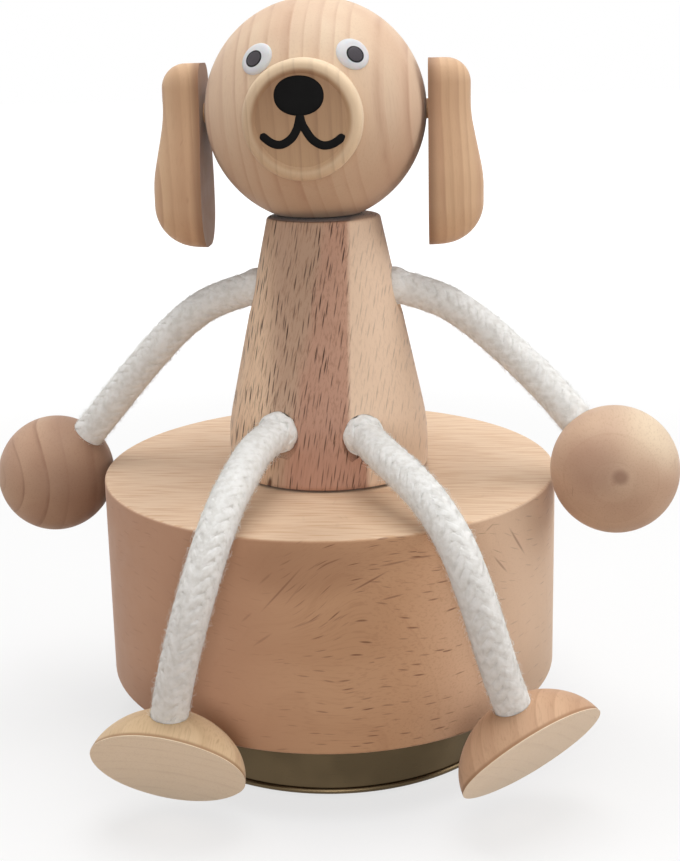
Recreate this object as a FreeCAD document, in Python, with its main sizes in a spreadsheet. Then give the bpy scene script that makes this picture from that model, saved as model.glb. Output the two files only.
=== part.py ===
import FreeCAD, Part
import math
import os
import re
import Sketcher
from FreeCAD import Matrix, Placement, Rotation, Vector

# A wind-up wooden music box: a beech drum that turns on a steel foot, and on it a dog with a turned
# body, a ball head, cord limbs and wooden paws. Sizes are in millimetres. The origin is the middle of
# the foot's resting face, +Z is up and the dog looks along -Y. Left is -X, as seen from the front.

SIZES = {
    # foot
    "pad_radius": 35, "pad_thick": 0.6,
    "foot_radius": 38.3, "foot_height": 12.7, "foot_sheet": 0.8, "foot_gap": 0.6,
    "bead_height": 1.3, "bead_out": 0.55,
    "boss_radius": 7, "boss_rise": 2.4,
    "foot_screw_radius": 1.5, "foot_screw_head": 3, "foot_screw_head_height": 1.8, "foot_screw_reach": 8,
    # drum
    "box_radius": 47.5, "box_height": 42.4, "box_edge": 0.6, "box_roof": 14,
    "box_wall": 9, "rebate_wall": 3.6, "rebate_depth": 3, "board_gap": 0.1, "board_hole": 5,
    "board_screws": 4, "board_screw_radius": 1.2, "board_screw_head": 2.2, "board_screw_reach": 10,
    # bedplate and what stands on it
    "bed_thick": 2, "bed_room": 1.5, "bed_side": 12, "bed_edge": 1.3, "bed_back_edge": 1.4,
    "bed_near_x": 21, "bed_near_y": 8, "bed_shoulder_x": 10, "bed_shoulder_y": 19.5, "bed_back_x": 13,
    "bearing_gap": 0.06, "pillar_place": 17.5, "pillar_radius": 2, "pillar_height": 4.7,
    "bed_screws": 3, "bed_screw_place": 16, "bed_screw_angle": 60, "bed_screw_radius": 1.25,
    "bed_screw_head": 2.4, "bed_screw_bite": 1.5,
    "small_screw_radius": 1, "small_screw_head": 1.6, "small_screw_head_height": 0.9,
    "small_screw_bite": 1.6, "small_screw_spare": 2,
    # winding arbor, great wheel and ratchet
    "arbor_radius": 2.5, "arbor_boss": 3, "collar_radius": 4, "collar_height": 1.8, "collar_gap": 0.1,
    "core_radius": 3.6, "core_lift": 0.4, "pivot_radius": 1.5,
    "wheel_gap": 0.5, "wheel_thick": 1.6, "crown_pitch": 13.5, "crown_length": 2, "crown_teeth": 36,
    "crown_height": 1.9, "crown_pitch_height": 1.2, "crown_gap": 0.2,
    "ratchet_radius": 5, "ratchet_thick": 1.2, "ratchet_teeth": 12, "ratchet_notch": 0.9,
    "click_place": 8.4, "click_radius": 1.3, "click_arm": 0.9, "click_wall": 0.1, "click_gap": 0.22,
    "click_low": 1.3, "click_high": 2.2, "click_slant": 0.4, "click_pin_radius": 0.6,
    "click_pin_proud": 0.4,
    # spring
    "housing_radius": 12.2, "housing_sheet": 0.8, "housing_height": 12.9, "housing_edge": 1,
    "lug_radius": 2.6, "lug_root": 0.3,
    "spring_strip": 0.4, "spring_height": 9.5, "spring_turns": 6, "spring_gap": 0.3, "spring_lift": 1,
    # cylinder and comb
    "pinion_pitch": 4.5, "pinion_teeth": 12, "pinion_width": 1.8, "tooth_rise": 0.6, "tooth_root": 0.15,
    "bracket_gap": 0.5, "bracket_thick": 1.2, "bracket_width": 8, "bracket_web": 4, "bracket_foot": 5.5,
    "bracket_foot_thick": 1.1, "bracket_slit": 0.3, "bracket_screw_place": 3.2,
    "side_gap": 0.3, "shaft_radius": 1, "shaft_gap": 0.05, "shaft_proud": 0.3, "shaft_tail": 0.2,
    "gear_pitch": 7, "gear_teeth": 28, "gear_width": 1, "gear_gap": 0.15,
    "barrel_radius": 6, "barrel_wall": 0.6, "pin_radius": 0.17, "pin_rise": 0.4, "pin_count": 54,
    "comb_teeth": 18, "comb_slot": 0.16, "comb_thick": 0.9, "comb_gap": 0.35, "comb_reach": 6.1,
    "comb_depth": 13.3, "comb_block": 7, "comb_screw_inset": 2.6,
    # governor
    "governor_pitch": 3.5, "governor_teeth": 14, "governor_shaft": 0.6, "fine_rise": 0.45,
    "governor_screw_place": 2.1, "worm_gap": 0.1, "worm_turns": 4,
    "worm_wheel_pitch": 3.4, "worm_wheel_teeth": 16, "worm_wheel_tip": 0.35, "worm_pitch_radius": 1.3,
    "worm_wheel_place": 2.5, "fly_shaft": 0.5, "fly_floor": 0.2, "fly_end": 0.3, "fly_proud": 0.9,
    "vane_radius": 5, "vane_height": 5, "vane_thick": 0.3, "vane_hub": 0.6, "vane_gap": 0.3,
    "frame_sheet": 1.2, "frame_width": 4, "frame_rise": 2.6, "frame_room": 1,
    "hook_width": 3.4, "hook_root": 0.5, "hook_room": 2, "hook_over": 1.6, "hook_gap": 0.5,
    # dog's body
    "torso_height": 52.95, "torso_radius": 20.05, "torso_belly": 13.7, "torso_top": 11.6,
    "belly_round": 40, "torso_edge": 1.5, "torso_top_edge": 0.8,
    "torso_screw_radius": 2, "torso_screw_head": 4, "torso_screw_sink": 2.2, "torso_screw_reach": 24,
    "shoulder_drop": 14.75, "shoulder_sink": 0.575, "hip_left": 11.9, "hip_right": 11.3, "hip_out": 0.22,
    "limb_hole": 4.05, "arm_mouth": 0.8, "leg_mouth": 0.55, "leg_hole_depth": 9, "leg_hole_run": 4,
    "core_gap": 0.3,
    # neck and head
    "neck_radius": 4, "neck_sink": 9.75, "neck_gap": 0.05, "neck_height": 7.75, "head_gap": 0.4,
    "head_radius": 22.5, "head_flat": 8.9, "head_shift_x": -1.2, "head_shift_y": 1.5,
    "dowel_room": 0.4, "drill_run": 5,
    "muzzle_radius": 11.4, "muzzle_stand": 1.5, "muzzle_round": 1.6, "muzzle_rim": 2.7,
    "muzzle_dish": 0.5, "spigot_radius": 4, "spigot_length": 6,
    # ears
    "ear_gap": 0.3, "ear_top": 10, "ear_thin": 8.5, "ear_corner": 5, "ear_waist": 1, "ear_bend": 25,
    "ear_thick": 11.1, "ear_belly": 13.5, "ear_round": 8.5, "ear_bottom": 27.3, "ear_half_depth": 8.4,
    "ear_peg_radius": 2, "ear_peg_sink": 6, "ear_peg_reach": 4,
    # cords, hands and paws
    "cord_radius": 3.5, "hand_radius": 12.5, "hand_seat": 6.3, "hand_gap": 0.52,
    "paw_stand_left": 12.34, "paw_stand_right": 15.13,
    "egg_radius": 12.35, "egg_toe": 14.75, "egg_heel": 15.75, "toe_round": 11, "heel_round": 10,
    "paw_cut": 1.5,
}

doc = FreeCAD.newDocument("music_box")
sheet = doc.addObject("Spreadsheet::Sheet", "dims")
for row, (alias, value) in enumerate(SIZES.items(), 1):
    sheet.set(f"A{row}", alias)
    sheet.set(f"B{row}", str(value))
    sheet.setAlias(f"B{row}", alias)
doc.recompute()

NAMES = re.compile(r"\b(" + "|".join(SIZES) + r")\b")
ALONG_X = Rotation(Vector(0, 1, 0), 90)
pieces = []


def link(text):
    """Put the sheet's name before each size in an expression."""
    return NAMES.sub(r"dims.\1", str(text))


def size(text):
    """The number that an expression of sizes stands for."""
    return float(sheet.evalExpression(link(text)))


def bind(item, **texts):
    for name, text in texts.items():
        item.setExpression(name, link(text))
    return item


def place(item, x="0", y="0", z="0", turn=None):
    """Put an item at a place given by expressions, turned by a rotation."""
    item.Placement = Placement(Vector(size(x), size(y), size(z)), turn or Rotation())
    for axis, text in zip("xyz", (x, y, z)):
        item.setExpression(f"Placement.Base.{axis}", link(text))
    return item


def keep(item, name):
    """Count an item as one of the object's pieces."""
    item.Label = name
    pieces.append(item)
    return item


def new_body(name):
    return keep(doc.addObject("PartDesign::Body", name), name)


def origin_item(body, role):
    return next(item for item in body.Origin.OriginFeatures if item.Role == role)


def new_sketch(body, role="XY_Plane", lift="0"):
    sketch = body.newObject("Sketcher::SketchObject", body.Name + "_sketch")
    sketch.AttachmentSupport = [(origin_item(body, role), "")]
    sketch.MapMode = "FlatFace"
    sketch.setExpression("AttachmentOffset.Base.z", link(lift))
    return sketch


def arc_middle(start, end, radius, side):
    """The middle of the shorter arc between two points that turns to the side named."""
    chord = end - start
    half = chord.Length / 2
    sag = radius - math.sqrt(max(radius ** 2 - half ** 2, 0))
    out = Vector(chord.y, -chord.x, 0).normalize()
    return (start + end) / 2 + out * (sag if side == "left" else -sag)


def draw(sketch, outline):
    """Draw a closed outline of corners (x, y). An entry (x, y, radius, side) is reached by an arc
    that turns to that side."""
    corners = [Vector(size(entry[0]), size(entry[1]), 0) for entry in outline]
    first = sketch.GeometryCount
    ends = []
    for number, entry in enumerate(outline):
        start, end = corners[number - 1], corners[number]
        if len(entry) == 2:
            sketch.addGeometry(Part.LineSegment(start, end), False)
            ends.append((1, 2))
            continue
        middle = arc_middle(start, end, size(entry[2]), entry[3])
        run = (start, middle, end) if entry[3] == "left" else (end, middle, start)
        sketch.addGeometry(Part.Arc(*run), False)
        ends.append((1, 2) if entry[3] == "left" else (2, 1))
    rules = []
    texts = []
    for number, entry in enumerate(outline):
        edge = first + number
        after = (number + 1) % len(outline)
        rules.append(Sketcher.Constraint("Coincident", edge, ends[number][1], first + after, ends[after][0]))
        texts.append(None)
        for kind, text in (("DistanceX", entry[0]), ("DistanceY", entry[1])):
            rules.append(Sketcher.Constraint(kind, -1, 1, edge, ends[number][1], size(text)))
            texts.append(text)
        if len(entry) == 4:
            rules.append(Sketcher.Constraint("Radius", edge, size(entry[2])))
            texts.append(entry[2])
    add_rules(sketch, rules, texts)
    return sketch


def circle(sketch, radius, x="0", y="0"):
    sketch.addGeometry(Part.Circle(Vector(size(x), size(y), 0), Vector(0, 0, 1), size(radius)), False)
    ring = sketch.GeometryCount - 1
    rules = [
        Sketcher.Constraint("DistanceX", -1, 1, ring, 3, size(x)),
        Sketcher.Constraint("DistanceY", -1, 1, ring, 3, size(y)),
        Sketcher.Constraint("Radius", ring, size(radius)),
    ]
    add_rules(sketch, rules, [x, y, radius])
    return sketch


def add_rules(sketch, rules, texts):
    first = sketch.ConstraintCount
    sketch.addConstraint(rules)
    for number, text in enumerate(texts):
        if text is not None:
            sketch.setExpression(f"Constraints[{first + number}]", link(text))


def revolve(body, sketch, axis="V_Axis"):
    feature = body.newObject("PartDesign::Revolution", body.Name + "_turned")
    feature.Profile = sketch
    feature.ReferenceAxis = (sketch, [axis])
    feature.Angle = 360
    return feature


def pad(body, sketch, length):
    feature = body.newObject("PartDesign::Pad", body.Name + "_pad")
    feature.Profile = sketch
    return bind(feature, Length=length)


def pocket(body, sketch, depth, back=False):
    feature = body.newObject("PartDesign::Pocket", body.Name + "_pocket")
    feature.Profile = sketch
    feature.Reversed = back
    return bind(feature, Length=depth)


def drill(body, radius, length, x="0", y="0", z="0", turn=None):
    feature = body.newObject("PartDesign::SubtractiveCylinder", body.Name + "_hole")
    place(feature, x, y, z, turn)
    return bind(feature, Radius=radius, Height=length)


def around(body, feature, count, angle="360"):
    """Repeat a feature about the body's own Z axis."""
    ring = body.newObject("PartDesign::PolarPattern", body.Name + "_ring")
    ring.Originals = [feature]
    ring.Axis = (origin_item(body, "Z_Axis"), [""])
    bind(ring, Angle=angle, Occurrences=count)
    body.Tip = ring
    return ring


def rounded(x, y, radius, side, before, after):
    """Two entries that round a square corner: before and after are the ways in and out, each a pair
    of signs along x and y."""
    start = (f"{x} - ({before[0]})*({radius})", f"{y} - ({before[1]})*({radius})")
    end = (f"{x} + ({after[0]})*({radius})", f"{y} + ({after[1]})*({radius})")
    return [start, end + (radius, side)]


def spot(radius, angle):
    """The x and y of a place given by its radius and its angle in degrees from +X."""
    turn = math.radians(angle)
    return f"({radius})*({math.cos(turn):.6f})", f"({radius})*({math.sin(turn):.6f})"


def angles(count, start="0"):
    """The angles in degrees of a ring of equal steps."""
    number = round(size(count))
    return [size(start) + 360 * step / number for step in range(number)]


def solid(kind, name, **texts):
    return bind(doc.addObject("Part::" + kind, name), **texts)


def joined(name, items):
    fuse = doc.addObject("Part::MultiFuse", name)
    fuse.Shapes = items
    return fuse


def group(name, items):
    """Identical fasteners as separate solids of one piece."""
    compound = doc.addObject("Part::Compound", name)
    compound.Links = items
    return keep(compound, name)


def pan_screw(name, x, y, seat, radius, head, head_height, reach):
    """A screw with a flat round head on a seat, its shank pointing down."""
    top = place(solid("Cylinder", name + "_head", Radius=head, Height=head_height), x, y, seat)
    shank = solid("Cylinder", name + "_shank", Radius=radius, Height=reach)
    place(shank, x, y, f"({seat}) - ({reach})")
    return joined(name, [top, shank])


def sunk_screw(name, x, y, face, radius, head, reach):
    """A countersunk screw in a face that looks down, its shank pointing up."""
    sink = f"({head} - {radius})"
    top = solid("Cone", name + "_head", Radius1=head, Radius2=radius, Height=sink)
    place(top, x, y, face)
    shank = solid("Cylinder", name + "_shank", Radius=radius, Height=reach)
    place(shank, x, y, face)
    return joined(name, [top, shank])


def shape_piece(name, shape):
    item = doc.addObject("Part::Feature", name)
    item.Shape = shape
    return keep(item, name)


# Heights of the stack, from the table up.
BOX_BOTTOM = "(pad_thick + foot_height + foot_gap)"
BOX_TOP = f"({BOX_BOTTOM} + box_height)"
ROOF = f"({BOX_TOP} - box_roof)"
BED_BOTTOM = f"({BOX_BOTTOM} + rebate_depth)"
BED_TOP = f"({BED_BOTTOM} + bed_thick)"
WHEEL_BOTTOM = f"({BED_TOP} + wheel_gap)"
WHEEL_TOP = f"({WHEEL_BOTTOM} + wheel_thick)"
SHAFT_Z = f"({WHEEL_TOP} + crown_pitch_height + pinion_pitch)"
PILLAR_TOP = f"({BED_TOP} + pillar_height)"
HOUSING_TOP = f"({PILLAR_TOP} + housing_height)"
CUP_FLOOR_TOP = "(pad_thick + boss_rise + foot_sheet)"
COLLAR_TOP = f"({BED_BOTTOM} - collar_gap)"

# Radii of the drum's pocket, of its board and of the board's screws, from the drum's side inwards.
POCKET_RADIUS = "(box_radius - box_wall)"
BOARD_RADIUS = "(box_radius - rebate_wall)"
BOARD_SCREW_PLACE = f"(({POCKET_RADIUS} + {BOARD_RADIUS})/2)"
BED_REACH = f"({POCKET_RADIUS} - bed_room)"
BED_FAR = f"sqrt({BED_REACH}^2 - bed_side^2)"

# Places along the cylinder's shaft, from the great wheel outwards. The cylinder fills what the pocket
# leaves.
WHEEL_RADIUS = "(crown_pitch + crown_length/2)"
NEAR_X = f"({WHEEL_RADIUS} + bracket_gap)"
GEAR_X = f"({NEAR_X} + bracket_thick + side_gap)"
BARREL_X = f"({GEAR_X} + gear_width + side_gap)"
FAR_X = f"({BED_FAR} - bed_edge - bracket_thick)"
BARREL_LENGTH = f"({FAR_X} - side_gap - {BARREL_X})"

# Places of the governor.
GOVERNOR_Y = "(gear_pitch + governor_pitch)"
WORM_WHEEL_X = f"({GEAR_X} + gear_width + worm_wheel_place)"
FLY_X = f"({WORM_WHEEL_X} - gear_width/2)"
FLY_Y = f"({GOVERNOR_Y} + worm_wheel_pitch + worm_pitch_radius)"
HOOK_Z = f"({SHAFT_Z} + worm_wheel_pitch + worm_wheel_tip + hook_gap)"

HEAD_FLAT_DROP = "sqrt(head_radius^2 - head_flat^2)"
HEAD_Z = f"({BOX_TOP} + torso_height + head_gap + {HEAD_FLAT_DROP})"
SHOULDER = "(torso_height - shoulder_drop)"
SHOULDER_Z = f"({BOX_TOP} + {SHOULDER})"

# Half widths of the teeth at root and tip, as shares of their step.
CROWN_TOOTH = (0.27, 0.11)
SPUR_TOOTH = (0.25, 0.1)
WORM_TOOTH = (0.17, 0.1)
NOTCH_SHARE = 0.85
# Degrees from one pin of the cylinder to the next.
PIN_STEP = 137.5
# A half circle is drawn with a radius a hair over half its chord.
HALF_CIRCLE = 1.001
# The share of the shorter run beside a cord's corner that the corner's arc takes.
ARC_SHARE = 0.45


def make_foot_pad():
    pad_disc = solid("Cylinder", "foot_pad", Radius="pad_radius", Height="pad_thick")
    keep(pad_disc, "foot_pad")


def make_foot_cup():
    """Pressed steel pan with a raised boss for the screw and a rolled bead at the lower edge."""
    body = new_body("foot_cup")
    place(body, z="pad_thick")
    bead = "(((bead_height/2)^2 + bead_out^2)/(2*bead_out))"
    inner = "(foot_radius - foot_sheet)"
    outline = [
        ("foot_screw_radius", "boss_rise"),
        ("boss_radius", "boss_rise"),
        ("boss_radius", "0"),
        ("foot_radius", "0"),
        ("foot_radius", "bead_height", bead, "left"),
        ("foot_radius", "foot_height"),
        (inner, "foot_height"),
        (inner, "foot_sheet"),
        ("boss_radius + foot_sheet", "foot_sheet"),
        ("boss_radius + foot_sheet", "boss_rise + foot_sheet"),
        ("foot_screw_radius", "boss_rise + foot_sheet"),
    ]
    revolve(body, draw(new_sketch(body, "XZ_Plane"), outline))


def make_foot_screw():
    """It comes up through the boss into the winding arbor."""
    seat = "pad_thick + boss_rise"
    head = solid("Cylinder", "foot_screw_top", Radius="foot_screw_head", Height="foot_screw_head_height")
    place(head, z=f"{seat} - foot_screw_head_height")
    shank = solid("Cylinder", "foot_screw_shank", Radius="foot_screw_radius", Height="foot_screw_reach")
    place(shank, z=seat)
    keep(joined("foot_screw", [head, shank]), "foot_screw")


def make_winding_arbor():
    """The upright shaft on the foot. The drum hangs on its collar and turns about it."""
    body = new_body("winding_arbor")
    foot = CUP_FLOOR_TOP
    core_bottom = f"({PILLAR_TOP} + housing_sheet + core_lift)"
    core_top = f"({HOUSING_TOP} - housing_sheet - spring_gap)"
    screw_end = "(pad_thick + boss_rise + foot_screw_reach)"
    outline = [
        ("foot_screw_radius", foot),
        ("arbor_boss", foot),
        ("arbor_boss", f"{COLLAR_TOP} - collar_height"),
        ("collar_radius", f"{COLLAR_TOP} - collar_height"),
        ("collar_radius", COLLAR_TOP),
        ("arbor_radius", COLLAR_TOP),
        ("arbor_radius", core_bottom),
        ("core_radius", core_bottom),
        ("core_radius", core_top),
        ("pivot_radius", core_top),
        ("pivot_radius", HOUSING_TOP),
        ("0", HOUSING_TOP),
        ("0", screw_end),
        ("foot_screw_radius", screw_end),
    ]
    revolve(body, draw(new_sketch(body, "XZ_Plane"), outline))


def make_great_wheel():
    """Crown wheel: upright teeth on the rim drive the cylinder's pinion."""
    body = new_body("great_wheel")
    place(body, z=WHEEL_BOTTOM)
    disc = circle(new_sketch(body), WHEEL_RADIUS)
    circle(disc, "arbor_radius")
    pad(body, disc, "wheel_thick")
    step = "(2*pi*crown_pitch/crown_teeth)"
    low = "(wheel_thick - tooth_root)"
    high = "(wheel_thick + crown_height)"
    root, tip = CROWN_TOOTH
    tooth = new_sketch(body, "YZ_Plane", "crown_pitch - crown_length/2")
    draw(tooth, [
        (f"-{root}*{step}", low),
        (f"{root}*{step}", low),
        (f"{tip}*{step}", high),
        (f"-{tip}*{step}", high),
    ])
    around(body, pad(body, tooth, "crown_length"), "crown_teeth")


def make_ratchet():
    """Saw-toothed wheel on the arbor, with the click that holds it on the great wheel."""
    body = new_body("ratchet_wheel")
    place(body, z=WHEEL_TOP)
    disc = circle(new_sketch(body), "ratchet_radius")
    circle(disc, "arbor_radius")
    pad(body, disc, "ratchet_thick")
    turn = f"({NOTCH_SHARE}*360/ratchet_teeth)"
    out = "(ratchet_radius + ratchet_notch)"
    notch = draw(new_sketch(body), [
        ("ratchet_radius - ratchet_notch", "0"),
        (out, "0"),
        (f"{out}*cos({turn})", f"{out}*sin({turn})"),
    ])
    around(body, pocket(body, notch, "ratchet_thick", back=True), "ratchet_teeth")

    click = new_body("click")
    place(click, x="click_place", z=WHEEL_TOP)
    lever = circle(new_sketch(click), "click_radius")
    circle(lever, "click_pin_radius")
    pad(click, lever, "ratchet_thick")
    nose = "(ratchet_radius - click_place - ratchet_notch/2 + click_gap)"
    arm = draw(new_sketch(click), [
        ("-click_pin_radius - click_wall", "-click_arm"),
        ("-click_pin_radius - click_wall", "click_arm"),
        (f"{nose} + click_slant", "click_high"),
        (nose, "click_low"),
    ])
    pad(click, arm, "ratchet_thick")

    pin = solid("Cylinder", "click_pin", Radius="click_pin_radius",
                Height="ratchet_thick + click_pin_proud")
    keep(place(pin, x="click_place", z=WHEEL_TOP), "click_pin")


def make_base_housing():
    """The beech drum: turned from one block, pocketed from below for the movement."""
    body = new_body("base_housing")
    place(body, z=BOX_BOTTOM)
    roof = "(box_height - box_roof)"
    hole = "torso_screw_radius"
    rebate = f"({BOARD_RADIUS} + board_gap)"
    outline = [(rebate, "0")]
    outline += rounded("box_radius", "0", "box_edge", "left", (1, 0), (0, 1))
    outline += rounded("box_radius", "box_height", "box_edge", "left", (0, 1), (-1, 0))
    outline += [
        (hole, "box_height"),
        (hole, f"{roof} + torso_screw_sink"),
        ("torso_screw_head", roof),
        (POCKET_RADIUS, roof),
        (POCKET_RADIUS, "rebate_depth"),
        (rebate, "rebate_depth"),
    ]
    revolve(body, draw(new_sketch(body, "XZ_Plane"), outline))
    screw_hole = drill(body, "board_screw_radius", "board_screw_reach", x=BOARD_SCREW_PLACE)
    around(body, screw_hole, "board_screws")


def make_base_plate():
    """Round board that closes the drum, let into its rebate."""
    body = new_body("base_plate")
    place(body, z=BOX_BOTTOM)
    sketch = circle(new_sketch(body), BOARD_RADIUS)
    circle(sketch, "board_hole")
    pad(body, sketch, "rebate_depth")
    sink = body.newObject("PartDesign::SubtractiveCone", "base_plate_sink")
    place(sink, x=BOARD_SCREW_PLACE)
    bind(sink, Radius1="board_screw_head", Radius2="board_screw_radius",
         Height="board_screw_head - board_screw_radius")
    around(body, sink, "board_screws")
    screw_hole = drill(body, "board_screw_radius", "rebate_depth", x=BOARD_SCREW_PLACE)
    around(body, screw_hole, "board_screws")
    bed_sink = body.newObject("PartDesign::SubtractiveCone", "bed_screw_sink")
    x, y = spot("bed_screw_place", size("bed_screw_angle"))
    place(bed_sink, x, y)
    bind(bed_sink, Radius1="bed_screw_head", Radius2="bed_screw_radius",
         Height="bed_screw_head - bed_screw_radius")
    around(body, bed_sink, "bed_screws")
    around(body, drill(body, "bed_screw_radius", "rebate_depth", x, y), "bed_screws")
    group("base_plate_screws", [
        sunk_screw(f"base_plate_screw{n}", *spot(BOARD_SCREW_PLACE, angle), BOX_BOTTOM,
                   "board_screw_radius", "board_screw_head", "board_screw_reach")
        for n, angle in enumerate(angles("board_screws"))
    ])
    group("bedplate_screws", [
        sunk_screw(f"bedplate_screw{n}", *spot("bed_screw_place", angle), BOX_BOTTOM,
                   "bed_screw_radius", "bed_screw_head", "rebate_depth + bed_screw_bite")
        for n, angle in enumerate(angles("bed_screws", "bed_screw_angle"))
    ])


COMB_TIP_Y = "(barrel_radius + pin_rise + comb_gap)"
COMB_SCREW_Y = f"(-{COMB_TIP_Y} - comb_depth + comb_block/2)"
COMB_BOTTOM = f"({SHAFT_Z} - comb_thick/2)"
COMB_SCREW_X = [
    f"({BARREL_X} + comb_screw_inset)",
    f"({BARREL_X} + {BARREL_LENGTH}/2)",
    f"({BARREL_X} + {BARREL_LENGTH} - comb_screw_inset)",
]
FOOT_SCREW_Y = "(-(bracket_width + bracket_foot + bracket_slit)/2)"
BRACKET_SCREW_X = [
    f"({NEAR_X} + bracket_screw_place)",
    f"({FAR_X} + bracket_thick - bracket_screw_place)",
]
GOVERNOR_SCREW_X = f"({NEAR_X} + bracket_thick + governor_screw_place)"
PILLAR_ANGLES = (110, 180, 250)
PILLAR_COUNT, PILLAR_SPAN = str(len(PILLAR_ANGLES)), str(PILLAR_ANGLES[-1] - PILLAR_ANGLES[0])


def make_bedplate():
    """Cast plate that carries the movement, with three pillars for the spring housing and a block
    for the comb."""
    body = new_body("bedplate")
    place(body, z=BED_BOTTOM)
    back = f"({COMB_TIP_Y} + comb_depth + bed_back_edge)"
    corner = f"sqrt({BED_REACH}^2 - {back}^2)"
    half = [
        (BED_FAR, "bed_side"),
        (corner, back),
        ("bed_back_x", back),
        ("-bed_shoulder_x", "bed_shoulder_y"),
        ("-bed_near_x", "bed_near_y"),
    ]
    sketch = draw(new_sketch(body), half + [(x, f"-({y})") for x, y in reversed(half)])
    circle(sketch, "arbor_radius + bearing_gap")
    pad(body, sketch, "bed_thick")
    pillar = circle(new_sketch(body, lift="bed_thick"), "pillar_radius",
                    *spot("pillar_place", PILLAR_ANGLES[0]))
    around(body, pad(body, pillar, "pillar_height"), PILLAR_COUNT, PILLAR_SPAN)
    x, y = spot("pillar_place", PILLAR_ANGLES[0])
    depth = "(small_screw_bite + small_screw_spare)"
    bite = drill(body, "small_screw_radius", depth, x, y, f"bed_thick + pillar_height - {depth}")
    around(body, bite, PILLAR_COUNT, PILLAR_SPAN)
    block_end = f"{BARREL_X} + {BARREL_LENGTH}"
    block = draw(new_sketch(body, lift="bed_thick"), [
        (BARREL_X, f"-{COMB_TIP_Y} - comb_depth"),
        (block_end, f"-{COMB_TIP_Y} - comb_depth"),
        (block_end, f"-{COMB_TIP_Y} - comb_depth + comb_block"),
        (BARREL_X, f"-{COMB_TIP_Y} - comb_depth + comb_block"),
    ])
    pad(body, block, f"{COMB_BOTTOM} - {BED_TOP}")
    for x in COMB_SCREW_X:
        drill(body, "small_screw_radius", depth, x, COMB_SCREW_Y, f"{COMB_BOTTOM} - {BED_BOTTOM} - {depth}")
    for x in BRACKET_SCREW_X:
        drill(body, "small_screw_radius", "small_screw_bite", x, FOOT_SCREW_Y,
              "bed_thick - small_screw_bite")
    drill(body, "small_screw_radius", "small_screw_bite", GOVERNOR_SCREW_X, GOVERNOR_Y,
          "bed_thick - small_screw_bite")
    x, y = spot("bed_screw_place", size("bed_screw_angle"))
    around(body, drill(body, "bed_screw_radius", "bed_screw_bite", x, y), "bed_screws")


def make_spring_housing():
    """Pressed cup over the spring, its three lugs on the pillars."""
    body = new_body("spring_housing")
    place(body, z=PILLAR_TOP)
    pivot = "(pivot_radius + bearing_gap)"
    inner = "(housing_radius - housing_sheet)"
    under = "(housing_height - housing_sheet)"
    outline = [
        (inner, "0"),
        ("housing_radius", "0"),
    ]
    outline += rounded("housing_radius", "housing_height", "housing_edge", "left", (0, 1), (-1, 0))
    outline += [(pivot, "housing_height"), (pivot, under), (inner, under)]
    revolve(body, draw(new_sketch(body, "XZ_Plane"), outline))
    angle = math.radians(PILLAR_ANGLES[0])
    across = Vector(-math.sin(angle), math.cos(angle), 0)
    start = spot(f"({inner} + lug_root)", PILLAR_ANGLES[0])
    end = spot("pillar_place", PILLAR_ANGLES[0])
    side_x, side_y = f"lug_radius*({across.x:.6f})", f"lug_radius*({across.y:.6f})"
    lug = draw(new_sketch(body), [
        (f"{start[0]} - {side_x}", f"{start[1]} - {side_y}"),
        (f"{end[0]} - {side_x}", f"{end[1]} - {side_y}"),
        (f"{end[0]} + {side_x}", f"{end[1]} + {side_y}", f"lug_radius*{HALF_CIRCLE}", "left"),
        (f"{start[0]} + {side_x}", f"{start[1]} + {side_y}"),
    ])
    around(body, pad(body, lug, "housing_sheet"), PILLAR_COUNT, PILLAR_SPAN)
    around(body, drill(body, "small_screw_radius", "housing_sheet", *end), PILLAR_COUNT, PILLAR_SPAN)
    group("spring_housing_screws", [
        pan_screw(f"spring_housing_screw{n}", *spot("pillar_place", angle),
                  f"{PILLAR_TOP} + housing_sheet", "small_screw_radius", "small_screw_head",
                  "small_screw_head_height", "housing_sheet + small_screw_bite")
        for n, angle in enumerate(PILLAR_ANGLES)
    ])


def make_mainspring():
    """Wound steel strip: half turns whose centres alternate, from the arbor to the housing's wall."""
    strip = size("spring_strip")
    inner = size("core_radius + spring_gap") + strip / 2
    outer = size("housing_radius - housing_sheet") - strip / 2
    halves = int(size("spring_turns")) * 2
    step = (outer - inner) / halves
    sides = {1: [], -1: []}
    for number in range(halves):
        radius = inner + step * (number + 0.5)
        side = 1 if number % 2 else -1
        centre = Vector(side * step / 2, 0, 0)
        start_angle = 0 if side < 0 else math.pi
        for way in sides:
            points = [
                centre + Vector(math.cos(start_angle + turn), math.sin(start_angle + turn), 0)
                * (radius + way * strip / 2)
                for turn in (0, math.pi / 2, math.pi)
            ]
            sides[way].append(Part.Arc(*points).toShape())
    ends = [
        Part.LineSegment(sides[1][last].Vertexes[last].Point, sides[-1][last].Vertexes[last].Point)
        for last in (0, -1)
    ]
    edges = sides[1] + sides[-1] + [line.toShape() for line in ends]
    wire = Part.Wire(Part.sortEdges(edges)[0])
    shape = Part.Face(wire).extrude(Vector(0, 0, size("spring_height")))
    item = shape_piece("mainspring", shape)
    place(item, z=f"{PILLAR_TOP} + housing_sheet + spring_lift")


def tooth_outline(pitch, teeth, tip, root):
    step = f"(2*pi*({pitch})/({teeth}))"
    low = f"(({root}) - tooth_root)"
    wide, narrow = SPUR_TOOTH
    return [
        (low, f"-{wide}*{step}"),
        (tip, f"-{narrow}*{step}"),
        (tip, f"{narrow}*{step}"),
        (low, f"{wide}*{step}"),
    ]


def gear(name, pitch, teeth, tip, root, bore, width):
    """A spur gear about its own Z axis, with the first tooth along its own X axis."""
    body = new_body(name)
    blank = circle(new_sketch(body), root)
    circle(blank, bore)
    pad(body, blank, width)
    tooth = draw(new_sketch(body), tooth_outline(pitch, teeth, tip, root))
    around(body, pad(body, tooth, width), teeth)
    return body


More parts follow.
